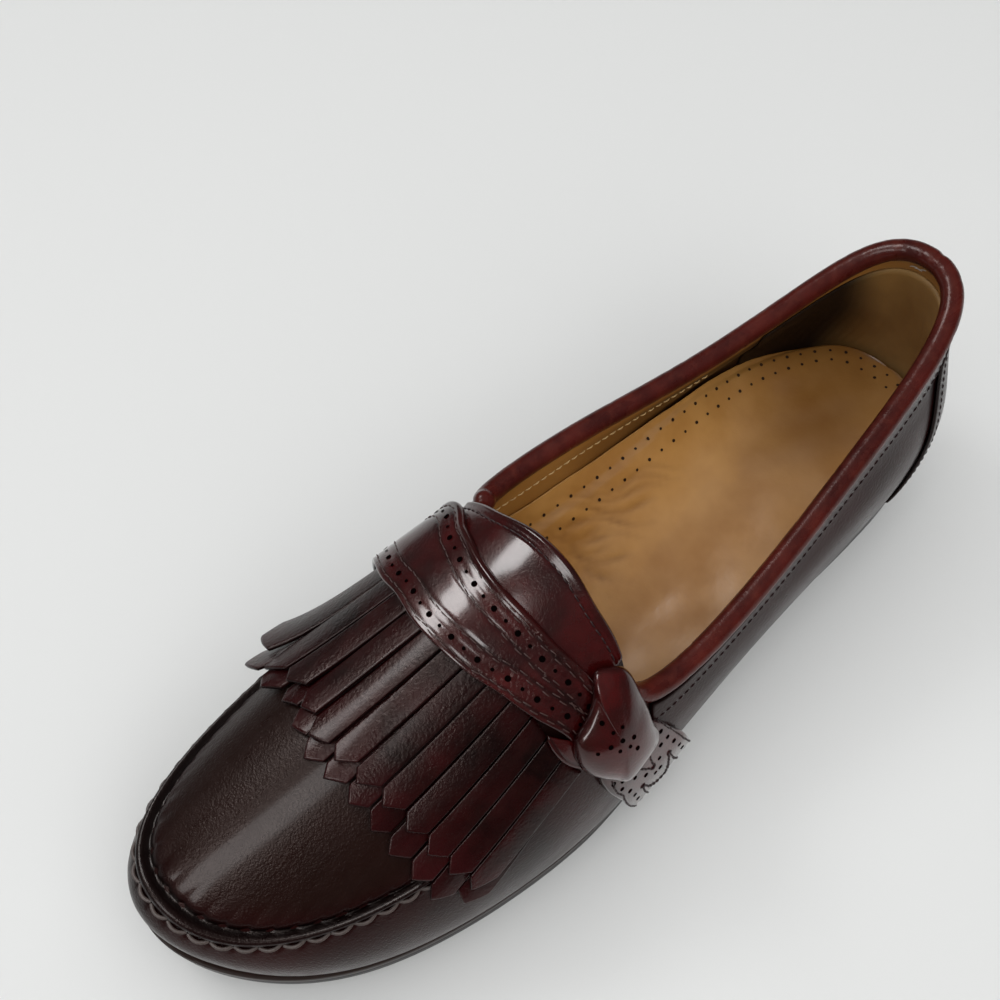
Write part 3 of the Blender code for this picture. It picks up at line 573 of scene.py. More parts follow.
# Lining inside the quarters, and the suede pocket round the heel
lining = {"thick": 0.6, "gap": 0.15, "counterTop": 0.92, "counterFrom": 6.6, "counterTo": 9.7,
          "counterThick": 0.7, "counterGap": 0.08, "counterFoot": -0.9, "stitchClimb": 0.80}
liningRing = np.linspace(0, ribCount, 300, endpoint=False)[:, None]
liningClimb = np.linspace(-0.98, 0.995, 60)[None, :]
depth = upper["leather"] + lining["gap"]
inside = depth + lining["thick"]
liningPiece = newPiece("quarterLining", *closedSheet(skin(liningRing, liningClimb, -depth),
                                                     skin(liningRing, liningClimb, -inside), closed=True))
# painted shade inside the medial heel, below the top edge of the lining
medialHeelShade = (softStep(8.3, 9.2, liningRing) * (1 - softStep(9.9, 11.6, liningRing))
             * (1 - softStep(0.84, 0.93, liningClimb)))
paint(liningPiece, "tone", np.tile(medialHeelShade.ravel(), 2))
dress(liningPiece, liningTan, "tan_leather")
counterRib = np.linspace(lining["counterFrom"], lining["counterTo"], 260)[:, None]
counterShare = np.linspace(0, 1, 40)[None, :]
counterTop = lining["counterTop"] - 0.03 * np.abs((counterRib - 8.3) / 1.5) ** 3
counterClimb = blend(lining["counterFoot"], counterTop, counterShare)
counterDepth = inside + lining["counterGap"]
# upright wrinkles rubbed in by the heel, 3 to 5 mm apart
bowedRib = counterRib + 0.08 * np.sin(counterClimb * 5)
rubs = (0.10 * np.sin(bowedRib * 41) * np.sin(bowedRib * 17 + 3 * counterClimb)
        * np.sin(counterShare * math.pi))
counterPiece = newPiece("counterLining", *closedSheet(
    skin(counterRib, counterClimb, -counterDepth),
    skin(counterRib, counterClimb, -counterDepth - lining["counterThick"] - rubs)))
# painted shade: the counter darkens from rib 8.35 to 9 towards its medial end
paint(counterPiece, "tone", np.tile(softStep(8.35, 9.0, bowedRib).ravel(), 2))
dress(counterPiece, counterSuede, "tan_leather")
alongPath("liningStitch", [onSkin(np.linspace(*ribs, 150), lining["stitchClimb"], -inside - 0.1, -1)
                           for ribs in ((3.9, 5.9), (10.1, 12.1))], stitchTree, {
    "Pitch": 3.0, "Length": 2.3, "Thickness": 0.5, "Jitter": 0.08, "Seed": 8, "Material": paleThread})
# frayed spot at the top of the heel
frayed = onSkin(np.array([8.0, 8.08, 8.16]), np.array([0.955, 0.945, 0.95]), -inside - 0.2, -1)
alongPath("frayedThread", [frayed], stitchTree, {
    "Pitch": 1.6, "Length": 2.6, "Thickness": 0.3, "Lean": 0.1, "Jitter": 0.3, "Bow": 0.5, "Seed": 41,
    "Material": whiteThread})
print("lining")

# Collar: rolled binding, the band under it and the strip up the heel
collar = {"ribs": (3.62, 12.9), "endTurn": 4.15, "radius": 3.4, "sink": 0.5, "along": 420, "around": 22,
          "endTaper": 3.2, "wrinkles": 150, "wrinkleDeep": 0.09, "bandRibs": (3.98, 12.18),
          "bandClimbs": (0.82, 0.985), "stayFoot": (6.42, 9.58), "stayTop": (6.92, 9.08),
          "stayClimbs": (-0.80, 0.79), "thick": 1.0}
rimRib = np.linspace(*collar["ribs"], collar["along"])
rimOut = outward(rimRib, 1.0)
rimLine = skin(rimRib, 1.0) - rimOut * last["wall"] / 2
rimUp = unit(np.cross(rimOut, np.gradient(rimLine, axis=0)))
rimUp = rimUp * np.sign(rimUp[collar["along"] // 2, 2])
endUp = rimUp[np.searchsorted(rimRib, collar["endTurn"])]
rimUp = np.where(rimRib[:, None] < collar["endTurn"], endUp, rimUp)
rimOut = unit(np.cross(np.gradient(rimLine, axis=0), rimUp))
rollCentre = rimLine + rimUp * (collar["radius"] - collar["sink"])
spin = np.linspace(0, 2 * math.pi, collar["around"], endpoint=False)
rollRun = runLength(rollCentre)
generator = np.random.default_rng(4)
wrinkleRun = generator.uniform(0, rollRun[-1], collar["wrinkles"])
wrinkleTurn = generator.uniform(0, 2 * math.pi, collar["wrinkles"])
rollSize = np.full((collar["along"], collar["around"]), collar["radius"])
for at, turn in zip(wrinkleRun, wrinkleTurn):
    lean = np.abs((spin - turn + math.pi) % (2 * math.pi) - math.pi)
    rollSize -= collar["wrinkleDeep"] * bell(rollRun[:, None] - at, 0.9) * bell(lean, 0.8)[None, :]
taper = np.clip(np.minimum(rollRun, rollRun[-1] - rollRun) / collar["endTaper"], 0, 1)[:, None]
rollSize = rollSize * np.sqrt(1 - (1 - taper) ** 2)
roll = (rollCentre[:, None] + rimOut[:, None] * (np.cos(spin)[None, :] * rollSize)[..., None]
        + rimUp[:, None] * (np.sin(spin)[None, :] * rollSize)[..., None])
index = np.arange(rollSize.size).reshape(rollSize.shape)
after = np.roll(index, -1, axis=1)
rollQuads = np.stack([index[:-1], index[1:], after[1:], after[:-1]], -1).reshape(-1, 4)
bindingPiece = newPiece("collarBinding", roll.reshape(-1, 3), rollQuads)
dress(bindingPiece, bindingCalf, "binding_leather", "collar_binding")


def patch(name, foot, top, climbs, along, up, node):
    share = borderShares(up, 0.05)[None, :]
    place = borderShares(along, 0.01)[:, None]
    rib = blend(blend(*foot, place), blend(*top, place), share)
    climb = blend(*climbs, share)
    base = skin(rib, climb, last["lie"])
    near = np.minimum.reduce(edgeRuns(base))
    face = skin(rib, climb, last["lie"] + collar["thick"] - edgeDrop(near, 0.7))
    piece = newPiece(name, *closedSheet(face, base))
    paint(piece, "shade", 0.75 * np.clip(1 - near / 1.2, 0, 1), 1.0)
    dress(piece, oxbloodCalf, "oxblood_leather", node)


patch("collarBand", collar["bandRibs"], collar["bandRibs"], collar["bandClimbs"], 360, 10, "collar_band")
patch("backstay", collar["stayFoot"], collar["stayTop"], collar["stayClimbs"], 120, 60, "backstay")
stayClimb = np.linspace(-0.76, 0.75, 80)
bandLift = last["lie"] + collar["thick"] + 0.02
sideRows = [onSkin(np.linspace(4.05, 12.1, 500), 0.842, bandLift)]
for foot, top, inward in zip(collar["stayFoot"], collar["stayTop"], (0.09, -0.09)):
    rib = inward + np.interp(stayClimb, collar["stayClimbs"], (foot, top))
    sideRows.append(onSkin(rib, stayClimb, bandLift))
alongPath("collarStitch", sideRows, stitchTree, {
    "Pitch": 2.6, "Length": 2.1, "Thickness": 0.45, "Jitter": 0.06, "Seed": 11, "Material": darkThread})
print("collar")

# Tongue: half-round tab with a turned edge
tongue = {"ribs": (-3.1, 2.9), "front": 0.90, "back": 1.018, "round": 0.00026, "thick": 1.6, "sewn": 3.9}
tongueRib = np.linspace(*tongue["ribs"], 150)[:, None]
tongueBack = tongue["back"] - tongue["round"] * tongueRib ** 4
tongueShare = np.concatenate([np.linspace(0, 0.82, 30, endpoint=False), np.linspace(0.82, 1, 26)])[None, :]
tongueClimb = blend(tongue["front"], tongueBack, tongueShare)
tongueBase = skin(tongueRib, tongueClimb, last["lie"])
fromBack = edgeRuns(tongueBase)[1]
bead = 0.45 * bell(fromBack - 1.3, 0.9) - 0.3 * bell(fromBack - tongue["sewn"], 0.5)
crown = 0.5 * np.sin(np.clip(fromBack / 24, 0, 1) * math.pi)
tongueLift = last["lie"] + tongue["thick"] + bead + crown - edgeDrop(fromBack, 1.1)
tongueTop = skin(tongueRib, tongueClimb, tongueLift)
tonguePiece = newPiece("tongue", *closedSheet(tongueTop, tongueBase))
paint(tonguePiece, "tone", 0.3 * bell(fromBack - 1.0, 0.8))
dress(tonguePiece, strapCalf, "oxblood_leather", "tongue")
topRib = np.linspace(-2.95, 2.75, 300)
topClimb = tongue["back"] - tongue["round"] * topRib ** 4
topClimb = topClimb - tongue["sewn"] / climbLength(topRib, topClimb - 0.01)
alongPath("tongueStitch", [onSkin(topRib, topClimb, last["lie"] + tongue["thick"] + 0.05)], stitchTree,
          {"Pitch": 2.7, "Length": 2.1, "Thickness": 0.5, "Jitter": 0.08, "Seed": 14,
                              "Material": darkThread})
print("tongue")

# Fringe: two layers of blunt strips, each a little turned
fringe = {"rows": np.array((
    # strip, rib and climb of the sewn edge, rib of the tips, climb of the upper tips and of the lower
    (0, -2.80, 0.800, -2.62, 0.36, 0.30),
    (2, -1.67, 0.868, -1.54, 0.61, 0.575),
    (5, 0.09, 0.885, 0.08, 0.675, 0.648),
    (9, 2.07, 0.846, 1.80, 0.585, 0.515),
    (12, 3.05, 0.700, 2.60, 0.345, 0.23),
)), "strips": 12, "layers": (
    # piece, node, first and last place, column of the tips, height above the upper, seed
    ("kiltieUnder", "kiltie_under", 0.45, 11.95, 4, 0.5, 21),
    ("kiltieTop", "kiltie_top", 0.0, 12.0, 3, 2.2, 22),
), "thick": 1.2, "point": 4.2, "slitRoot": 0.03, "slitTip": 0.055, "across": 9, "curl": 1.0,
    "medialCurl": (5.5, 1.8, 0.4), "sideLift": 1.2, "sideFrom": 1.9, "wear": 0.15}
stripShare = np.concatenate([np.linspace(0, 0.8, 20, endpoint=False), np.linspace(0.8, 1, 16)])[:, None]
for name, node, first, end, tipColumn, stand, seed in fringe["layers"]:
    dice = np.random.default_rng(seed)
    pitch = (end - first) / fringe["strips"]
    allPoints, allFaces, tones, shades = [], [], [], []
    for strip in range(fringe["strips"]):
        peak = dice.uniform(0.34, 0.52)
        corners = peak + np.array([-0.04, -0.015, 0, 0.015, 0.04])
        u = np.sort(np.concatenate([borderShares(fringe["across"], 0.07), corners]))[None, :]
        t = stripShare
        slit = blend(fringe["slitRoot"], fringe["slitTip"], t)
        place = first + strip * pitch + slit / 2 + u * (pitch - slit)
        values = smoothAt(fringe["rows"][:, 0], fringe["rows"][:, 1:], place)
        rootRib, rootClimb, tipRib, tipClimb = (values[..., i] for i in (0, 1, 2, tipColumn))
        pointed = np.minimum(np.where(u < peak, u / peak, (1 - u) / (1 - peak)), 0.96)
        stripLong = np.linalg.norm(bareSkin(tipRib, tipClimb) - bareSkin(rootRib, rootClimb), axis=-1)
        along = t * (1 + dice.uniform(-0.02, 0.02) - fringe["point"] * (1 - pointed) / stripLong)
        rib, climb = blend(rootRib, tipRib, along), blend(rootClimb, tipClimb, along)
        tilt = dice.uniform(-0.8, 0.8)
        curl = fringe["curl"] * dice.uniform(0.3, 1.4)
        if strip < len(fringe["medialCurl"]):
            curl += fringe["medialCurl"][strip]
        wave = 0.25 * dice.uniform(-1, 1) * np.sin(math.pi * t * dice.uniform(1.0, 2.2))
        side = fringe["sideLift"] * np.maximum(np.abs(rib) - fringe["sideFrom"], 0) * along
        bend = np.sqrt(t) * tilt * (2 * u - 1) - 0.3 * (2 * u - 1) ** 2 * t
        lift = stand + curl * along ** 3 + side + bend + wave * t
        base = skin(rib, climb, lift)
        leftRun, rightRun, _, tipRun = edgeRuns(base)
        near = np.minimum.reduce([leftRun, rightRun, tipRun])
        top = skin(rib, climb, lift + fringe["thick"] - edgeDrop(near, 0.5))
        points, faces = closedSheet(top.transpose(1, 0, 2), base.transpose(1, 0, 2))
        allFaces.append(faces + sum(len(p) for p in allPoints))
        allPoints.append(points)
        edge = np.clip(1 - near / 0.7, 0, 1).T.ravel()
        tipTone = softStep(0.72, 1.0, t + 0 * u).T.ravel()
        hidden = np.zeros(edge.size)
        tones.append(np.concatenate([0.4 * tipTone * dice.uniform(0.3, 1), hidden]))
        shades.append(np.concatenate([np.maximum(0.8 * edge, dice.uniform(0, 0.4)), hidden + 0.9]))
    fringePiece = newPiece(name, np.concatenate(allPoints), np.concatenate(allFaces))
    paint(fringePiece, "tone", np.concatenate(tones))
    paint(fringePiece, "shade", np.concatenate(shades))
    paint(fringePiece, "wear", (), fringe["wear"])
    dress(fringePiece, fringeCalf, "fringe_leather", node)
print("fringe")

# Cross strap and side tab: brogued bands with four rows of stitches
# Each row of a band: rib, climb and height of its rear edge, then of its front edge
strap = {"rows": (
    (-4.65, -0.70, 0.5, -3.75, -0.70, 0.5),
    (-4.50, -0.05, 0.5, -3.62, 0.02, 0.5),
    (-4.20, 0.42, 0.5, -3.45, 0.34, 0.5),
    (-3.75, 0.78, 1.6, -3.20, 0.56, 2.2),
    (-3.10, 0.950, 4.0, -2.75, 0.735, 5.2),
    (-1.98, 0.966, 3.0, -1.72, 0.836, 4.4),
    (-0.88, 0.958, 2.8, -0.70, 0.858, 4.2),
    (0.02, 0.956, 2.8, 0.10, 0.866, 4.2),
    (0.82, 0.954, 2.8, 0.82, 0.864, 4.2),
    (1.56, 0.950, 2.8, 1.48, 0.862, 4.2),
    (2.24, 0.940, 2.9, 2.10, 0.844, 4.2),
    (2.76, 0.915, 2.7, 2.58, 0.815, 3.2),
    (3.20, 0.870, 1.9, 2.90, 0.765, 1.8),
    (3.66, 0.830, 0.6, 3.10, 0.705, 0.6),
), "thick": 1.8, "along": 300, "across": 40, "pitch": 2.9, "holePitch": 4.7, "stitchWave": 0.6,
    "stitchRows": (("front", 1.9), ("front", 8.2), ("rear", 2.6), ("rear", 8.4)),
    "holeRows": (("front", 5.0), ("rear", 5.5))}
tab = {"rows": (
    (3.72, 0.93, 2.2, 3.28, 0.70, 0.8),
    (4.06, 0.84, 2.0, 3.52, 0.50, 0.9),
    (4.26, 0.46, 1.4, 3.70, 0.26, 1.2),
    (4.37, 0.08, 2.0, 3.81, -0.05, 2.0),
    (4.44, -0.34, 1.8, 3.88, -0.38, 2.2),
    (4.48, -0.72, 0.6, 3.92, -0.72, 0.6),
), "thick": 1.8, "along": 110, "across": 40, "stitchRows": (), "holeRows": (),
    # rows of rib and climb
    "holes": (((4.05, 0.755), (4.14, 0.585), (4.22, 0.36), (4.29, 0.12), (4.36, -0.2)),
              ((4.08, 0.545), (4.08, 0.34), (4.10, 0.065), (3.97, 0.255), (3.83, 0.405), (3.67, 0.505)),
              ((3.41, 0.635), (3.55, 0.545), (3.77, 0.335), (3.87, 0.065), (3.93, -0.25))),
    "sewing": (((4.02, 0.87), (4.08, 0.815), (4.20, 0.595), (4.30, 0.25), (4.42, -0.22), (4.44, -0.7)),
               ((3.74, 0.895), (3.90, 0.755), (4.04, 0.255), (3.85, 0.50), (3.67, 0.605)),
               ((4.29, -0.245), (4.17, 0.28), (4.18, -0.025), (4.16, -0.25), (4.05, -0.12), (3.92, 0.16),
                (4.0, -0.275)),
               ((3.54, 0.555), (3.72, 0.305), (3.88, -0.285), (3.96, -0.7)))}


def bandPlace(band, share, across):
    # share of the band's length, and 0 at its front edge to 1 at its rear edge
    table = np.array(band["rows"], float)
    run = runLength((skin(table[:, 0], table[:, 1]) + skin(table[:, 3], table[:, 4])) / 2)
    share, across = np.broadcast_arrays(np.asarray(share, float), np.asarray(across, float))
    edges = smoothAt(run, table, share * run[-1])
    place = edges[..., :3] * across[..., None] + edges[..., 3:] * (1 - across[..., None])
    return place[..., 0], place[..., 1], place[..., 2]


def bandRow(band, side, distance, wave):
    # a line along the band at a distance from one edge, with its outward directions
    share = np.linspace(0.01, 0.99, 400)
    front, rear = (skin(*bandPlace(band, share, edge)) for edge in (0.0, 1.0))
    width = np.linalg.norm(rear - front, axis=-1) * 1.03
    shift = distance + wave * np.sin(share * 190) * softStep(0.5, 0.75, share)
    across = shift / width if side == "front" else 1 - shift / width
    rib, climb, stand = bandPlace(band, share, across)
    return onSkin(rib, climb, stand + band["thick"] + 0.02)


def makeBand(name, band, node, beaded):
    share = np.linspace(0, 1, band["along"])[:, None]
    across = borderShares(band["across"], 0.035)[None, :]
    rib, climb, stand = bandPlace(band, share, across)
    base = skin(rib, climb, stand)
    runs = edgeRuns(base)
    fromEdge = {"front": runs[0], "rear": runs[1]}
    near = np.minimum.reduce(runs)
    lift = band["thick"] - edgeDrop(near, 0.8)
    # painted shade along the rows of stitches, in the dip they press into the leather
    sewing = np.zeros_like(near)
    for side, distance in band["stitchRows"]:
        lift = lift - 0.14 * bell(fromEdge[side] - distance, 0.5)
        sewing = np.maximum(sewing, 0.6 * bell(fromEdge[side] - distance, 0.6))
    for side, distance in band["holeRows"]:
        lift = lift - 0.12 * bell(fromEdge[side] - distance, 0.8)
    inner = softStep(8.0, 10.5, fromEdge["front"]) * softStep(8.0, 10.5, fromEdge["rear"])
    lift = lift + beaded * 0.5 * bell(fromEdge["rear"] - 1.0, 0.8) + 0.08 * inner
    top = skin(rib, climb, stand + lift)
    piece = newPiece(name, *closedSheet(top, base))
    frontEdge = 0.5 * np.clip(1 - near, 0, 1) * (fromEdge["front"] < 2)
    flexed = softStep(0.60, 0.86, share + 0 * across) * (1 - 0.75 * inner)
    paint(piece, "tone", beaded * 0.35 * bell(fromEdge["rear"] - 1.0, 0.9))
    paint(piece, "shade", np.maximum(frontEdge, sewing), 1.0)
    paint(piece, "wear", beaded * flexed)
    dress(piece, strapCalf, "strap_leather", *node)
    return rib, climb, top


makeBand("crossStrap", strap, ("strap",), True)
tabRib, tabClimb, tabTop = makeBand("sideTab", tab, ("strap_tab",), False)
alongPath("strapStitches", [bandRow(strap, *row, strap["stitchWave"]) for row in strap["stitchRows"]],
          stitchTree, {
              "Pitch": strap["pitch"], "Length": strap["pitch"] * 0.8, "Thickness": 0.38, "Jitter": 0.15,
              "Seed": 17, "Material": seamThread})
lines = [bandRow(strap, *row, 0.0) for row in strap["holeRows"]]
alongPath("strapHoles", [(line + out * 0.05, out) for line, out in lines], holeTree, {
    "Pitch": strap["holePitch"], "Radius": 0.9, "Small Radius": 0.55, "Material": holeShade})
print("strap")

# Knot: the tab's leather folded over the end of the strap, with the strap's own end showing below it
knot = {"edge": (
    # rib, climb and height above the last, round the folded edge
    (2.49, 0.940, 6.6),  # rear lip
    (2.65, 0.960, 6.4),
    (2.88, 0.978, 5.6),
    (3.22, 0.987, 4.6),
    (3.62, 0.985, 3.7),
    (3.90, 0.915, 3.3),
    (3.97, 0.815, 3.1),
    (3.81, 0.690, 3.0),
    (3.62, 0.605, 3.0),  # lower corner
    (3.38, 0.648, 3.0),
    (3.05, 0.705, 3.6),
    (2.72, 0.800, 6.2),  # fold over the strap
    (2.70, 0.862, 6.8),
    (2.63, 0.905, 6.8),
), "centre": (3.18, 0.825, 12.2), "around": 156, "rings": 26, "under": 0.6, "lowMiddle": 5.0,
    "foldAt": 11.8, "cuffAt": 6.8, "lipFolds": ((0.2, 0.10), (1.6, 0.16), (2.9, 0.12)),
    "holeRows": (((2.81, 0.864), (2.95, 0.852), (3.12, 0.840), (3.30, 0.832)),
                 ((3.01, 0.872), (3.10, 0.866), (3.20, 0.860)),
                 ((2.92, 0.792), (3.00, 0.820), (3.10, 0.812)))}
edgeRows = np.array(knot["edge"])
edgeAt = np.linspace(0, len(edgeRows), knot["around"], endpoint=False)
rim = closedCurve(edgeRows, aroundDiff(edgeRows) / 2, edgeAt)[:, None, :]
edgeAt = edgeAt[:, None]
outTo = np.sin(np.linspace(0.03, 1, knot["rings"]) * math.pi / 2)[None, :]
middle = np.array(knot["centre"])
domeAt = blend(middle[:2], rim[..., :2], outTo[..., None])
rise = (1 - outTo ** 2.2) ** 0.55
foldSide = bell(edgeAt - knot["foldAt"], 1.5)
domeStand = blend(rim[..., 2], middle[2], rise) + 0.2 * foldSide * bell(outTo - 0.90, 0.07)
for foldAt, deep in knot["lipFolds"]:
    away = (edgeAt - foldAt + len(edgeRows) / 2) % len(edgeRows) - len(edgeRows) / 2
    folded = bell(away - 0.5 * (1 - outTo), 0.32)
    domeStand = domeStand - deep * folded * softStep(0.25, 0.75, outTo) * rise ** 0.5
cuffSide = bell(edgeAt - knot["cuffAt"], 1.4)
domeStand = domeStand + cuffSide * (0.3 * bell(outTo - 0.88, 0.07) - 0.35 * bell(outTo - 0.74, 0.06))
dome = skin(domeAt[..., 0], domeAt[..., 1], domeStand)
lowStand = blend(rim[..., 2], knot["lowMiddle"], 1 - outTo)
domeLow = skin(domeAt[..., 0], domeAt[..., 1], np.minimum(lowStand, rim[..., 2]) - knot["under"])
knotCount = knot["around"] * knot["rings"]
topQuads = gridQuads(knot["around"], knot["rings"], closed=True)
spoke = np.arange(knot["around"]) * knot["rings"]
rimHere, rimNext = (at + knot["rings"] - 1 for at in (spoke, np.roll(spoke, -1)))
rimQuads = np.stack([rimHere, rimNext, rimNext + knotCount, rimHere + knotCount], -1)
knotFaces = np.concatenate([topQuads, topQuads[:, ::-1] + knotCount, rimQuads]).tolist()
for here, after in zip(spoke.tolist(), np.roll(spoke, -1).tolist()):
    knotFaces.append((2 * knotCount, after, here))
    knotFaces.append((2 * knotCount + 1, here + knotCount, after + knotCount))
poles = skin(np.full(2, middle[0]), np.full(2, middle[1]), np.array([middle[2], 4.4]))
knotPoints = np.concatenate([dome.reshape(-1, 3), domeLow.reshape(-1, 3), poles])
knotPiece = newPiece("strapKnot", knotPoints, knotFaces)
beside = np.roll(domeStand, 2, axis=0) + np.roll(domeStand, -2, axis=0)
hollow = np.clip((beside - 2 * domeStand) * 3.0, 0, 0.7)
paint(knotPiece, "shade", np.maximum(hollow, 0.6 * softStep(0.93, 1.0, outTo)), 1.0)
paint(knotPiece, "tone", 0.5 * foldSide * bell(outTo - 0.86, 0.12))
dress(knotPiece, strapCalf, "strap_leather", "strap_knot")


def lineOn(row, ribs, climbs, points, normals):
    # a line given in ribs and climbs, laid on the six nearest points of a surface
    share = np.linspace(0, len(row) - 1, 12 * len(row))
    rib, climb = (np.interp(share, np.arange(len(row)), column) for column in zip(*row))
    off = (((ribs.ravel()[None, :] - rib[:, None]) * 26) ** 2
           + ((climbs.ravel()[None, :] - climb[:, None]) * 70) ** 2)
    nearest = np.argpartition(off, 6, axis=1)[:, :6]
    weight = 1 / (np.take_along_axis(off, nearest, axis=1) + 0.2)[..., None]
    weight = weight / weight.sum(axis=1, keepdims=True)
    out = (normals[nearest] * weight).sum(axis=1)
    return (points.reshape(-1, 3)[nearest] * weight).sum(axis=1) + out * 0.1, out


knotNormals = np.array([vertex.normal for vertex in knotPiece.data.vertices])[:knotCount]
alongPath("knotHoles", [lineOn(row, domeAt[..., 0], domeAt[..., 1], dome, knotNormals)
                        for row in knot["holeRows"]], holeTree, {
    "Pitch": 3.9, "Radius": 0.75, "Small Radius": 0.6, "Material": holeShade})

# the strap's end turned out below the knot, and the rows of sewing that hold the tab
strapEnd = {"rows": (
    (2.40, 0.812, 3.7, 2.44, 0.800, 3.5),
    (2.57, 0.806, 3.8, 2.57, 0.776, 3.2),
    (2.76, 0.798, 3.6, 2.84, 0.730, 2.5),
    (2.98, 0.780, 2.9, 3.06, 0.704, 2.2),
), "thick": 1.2, "along": 50, "across": 16, "stitchRows": (("front", 1.5),), "holeRows": ()}
makeBand("strapEnd", strapEnd, (), False)
tabNormals = outward(tabRib, tabClimb).reshape(-1, 3)
tabHoles, tabSewing = ([lineOn(row, tabRib, tabClimb, tabTop, tabNormals) for row in tab[key]]
                       for key in ("holes", "sewing"))
alongPath("tabHoles", tabHoles, holeTree, {
    "Pitch": 5.6, "Radius": 0.85, "Small Radius": 0.75, "Material": holeShade})
alongPath("tabZigzag", tabSewing, stitchTree, {
    "Pitch": 2.2, "Length": 2.1, "Thickness": 0.6, "Jitter": 0.12, "Seed": 31, "Material": darkThread})
print("knot")

# Insole with its arch, wrinkles and two rows of pinholes
insole = {"stations": (0.0, 0.25, 0.50, 1.0), "heights": (13.0, 12.0, 8.0, 5.0), "inset": 1.6,
          "archLift": 14.0, "archMiddle": 0.38, "archSpan": 0.26, "alongCount": 240, "acrossCount": 70,
          "belowRim": 13.5, "mostRise": 26, "flankShare": 0.36}


def insoleTop(x, share):
    # share runs 0 at the medial edge to 1 at the lateral edge
    place = x / last["length"]
    height = np.interp(place, insole["stations"], insole["heights"])
    arch = np.cos(np.clip((place - insole["archMiddle"]) / insole["archSpan"], -1, 1) * math.pi / 2) ** 2
    lifted = insole["archLift"] * arch * np.clip(1 - share / 0.62, 0, 1) ** 1.6
    dish = -1.2 * np.sin(np.clip(share, 0, 1) * math.pi) ** 0.8
    return soleLine(x) + height + lifted + dish


flat, out = plan(np.linspace(0, ribCount, 1600, endpoint=False))
flat = flat - out * insole["inset"]
flat = np.roll(flat, -int(np.argmax(flat[:, 0])), axis=0)
heelAtRow = int(np.argmin(flat[:, 0]))
lateralSide = flat[:heelAtRow + 1][::-1]
medialSide = np.concatenate([flat[heelAtRow:], flat[:1]])
heelX, toeX = lateralSide[0, 0], lateralSide[-1, 0]
stationShare = (1 - np.cos(np.linspace(0.02, math.pi - 0.02, insole["alongCount"]))) / 2
stationX = blend(heelX, toeX, stationShare)
lateralY = np.interp(stationX, lateralSide[:, 0], lateralSide[:, 1])
medialY = np.interp(stationX, medialSide[:, 0], medialSide[:, 1])
acrossShare = borderShares(insole["acrossCount"], 0.02)[None, :]
topX = np.broadcast_to(stationX[:, None], (len(stationX), acrossShare.shape[1]))
topY = blend(medialY[:, None], lateralY[:, None], acrossShare)
topZ = insoleTop(topX, acrossShare)
lowY = topY * 0.985
# the medial edge of the sock climbs the wall, as high as the rim lets it
medialRim = skin(np.linspace(8.4, 13.0, 300), 1.0)
edgeZ = np.interp(stationX, medialRim[:, 0], medialRim[:, 2]) - insole["belowRim"]
edgeRise = (np.clip(edgeZ - insoleTop(stationX, 0.0), 0, insole["mostRise"]) * softStep(8, 100, stationX)
            * (1 - softStep(165, 200, stationX)))
wallSide = skin(np.linspace(9.2, 13.6, 200)[:, None], np.linspace(-0.3, 0.95, 90)[None, :], -2.5)
wallSide = wallSide.reshape(-1, 3)
edgeHeight = insoleTop(stationX, 0.0) + edgeRise
closest = [int(np.argmin((wallSide[:, 0] - x) ** 2 + (wallSide[:, 2] - z) ** 2))
           for x, z in zip(stationX, edgeHeight)]
flank = np.clip(1 - acrossShare / insole["flankShare"], 0, 1) ** 2.0
topZ = topZ + edgeRise[:, None] * flank
wallReach = np.clip(wallSide[closest, 1] - medialY, -8, 0) * np.clip(edgeRise / 6, 0, 1)
topY = topY + wallReach[:, None] * flank ** 0.7
# wrinkles fanning out from the medial instep, each from one point to another
wrinkles = (((150, -30), (122, -4), 0.9), ((146, -31), (116, -7), 1.0), ((142, -32), (110, -10), 0.9),
            ((138, -33), (104, -12), 1.0), ((134, -33), (98, -14), 0.9), ((129, -33), (93, -16), 0.8),
            ((154, -29), (130, -3), 0.9), ((158, -28), (138, -2), 0.8), ((124, -32), (88, -17), 0.7),
            ((148, -28), (132, -9), 0.7), ((144, -29), (126, -10), 0.8), ((140, -29), (120, -13), 0.7),
            ((136, -29), (114, -15), 0.7), ((118, -31), (84, -18), 0.5))
creaseShade = np.zeros_like(topZ)
for start, stop, deep in wrinkles:
    start, stop = np.array(start, float), np.array(stop, float)
    run = stop - start
    share = np.clip(((topX - start[0]) * run[0] + (topY - start[1]) * run[1]) / (run @ run), 0, 1)
    bend = 1.5 * np.sin(share * 9 + start[0])
    away = np.hypot(topX - start[0] - share * run[0], topY - start[1] - share * run[1] - bend)
    trough = deep * bell(away, 0.9) * np.sin(np.clip(share, 0.02, 0.98) * math.pi) ** 0.5
    topZ = topZ - 0.8 * trough
    # the deepest trough at each point, kept as painted shade in the wrinkles
    creaseShade = np.maximum(creaseShade, trough)
# shallow hollows trodden into the sock, 15 to 30 mm across
topZ = topZ + 0.22 * np.sin(topX / 4.1 + topY / 9.0) * np.sin(topY / 3.3 - topX / 17.0)
topZ = topZ + 0.30 * np.sin(topX / 7.7 - topY / 11.0 + 1.0) * np.sin(topY / 6.1 + 0.5)
nearEdge = np.minimum(topY - medialY[:, None], lateralY[:, None] - topY)
topZ = topZ - edgeDrop(nearEdge, 1.2)
insoleOuter = np.stack([topX, topY, topZ], -1)
insoleLow = np.stack([topX, lowY, soleLine(topX) + last["fit"]], -1)
insolePiece = newPiece("insoleSock", *closedSheet(insoleOuter[::-1], insoleLow[::-1]))
# darker at the heel and near the edge round the heel, and painted shade in the wrinkles
darkHeelAndCreaseShade = (0.55 * np.exp(-(((topX - 42) / 26) ** 2 + ((topY - 2) / 17) ** 2))
            + 0.45 * np.clip(1 - nearEdge / 7, 0, 1) * softStep(70, 20, topX) + 0.6 * creaseShade)
paint(insolePiece, "tone", darkHeelAndCreaseShade[::-1], 1.0)
dress(insolePiece, insoleTan, "tan_leather", "insole")


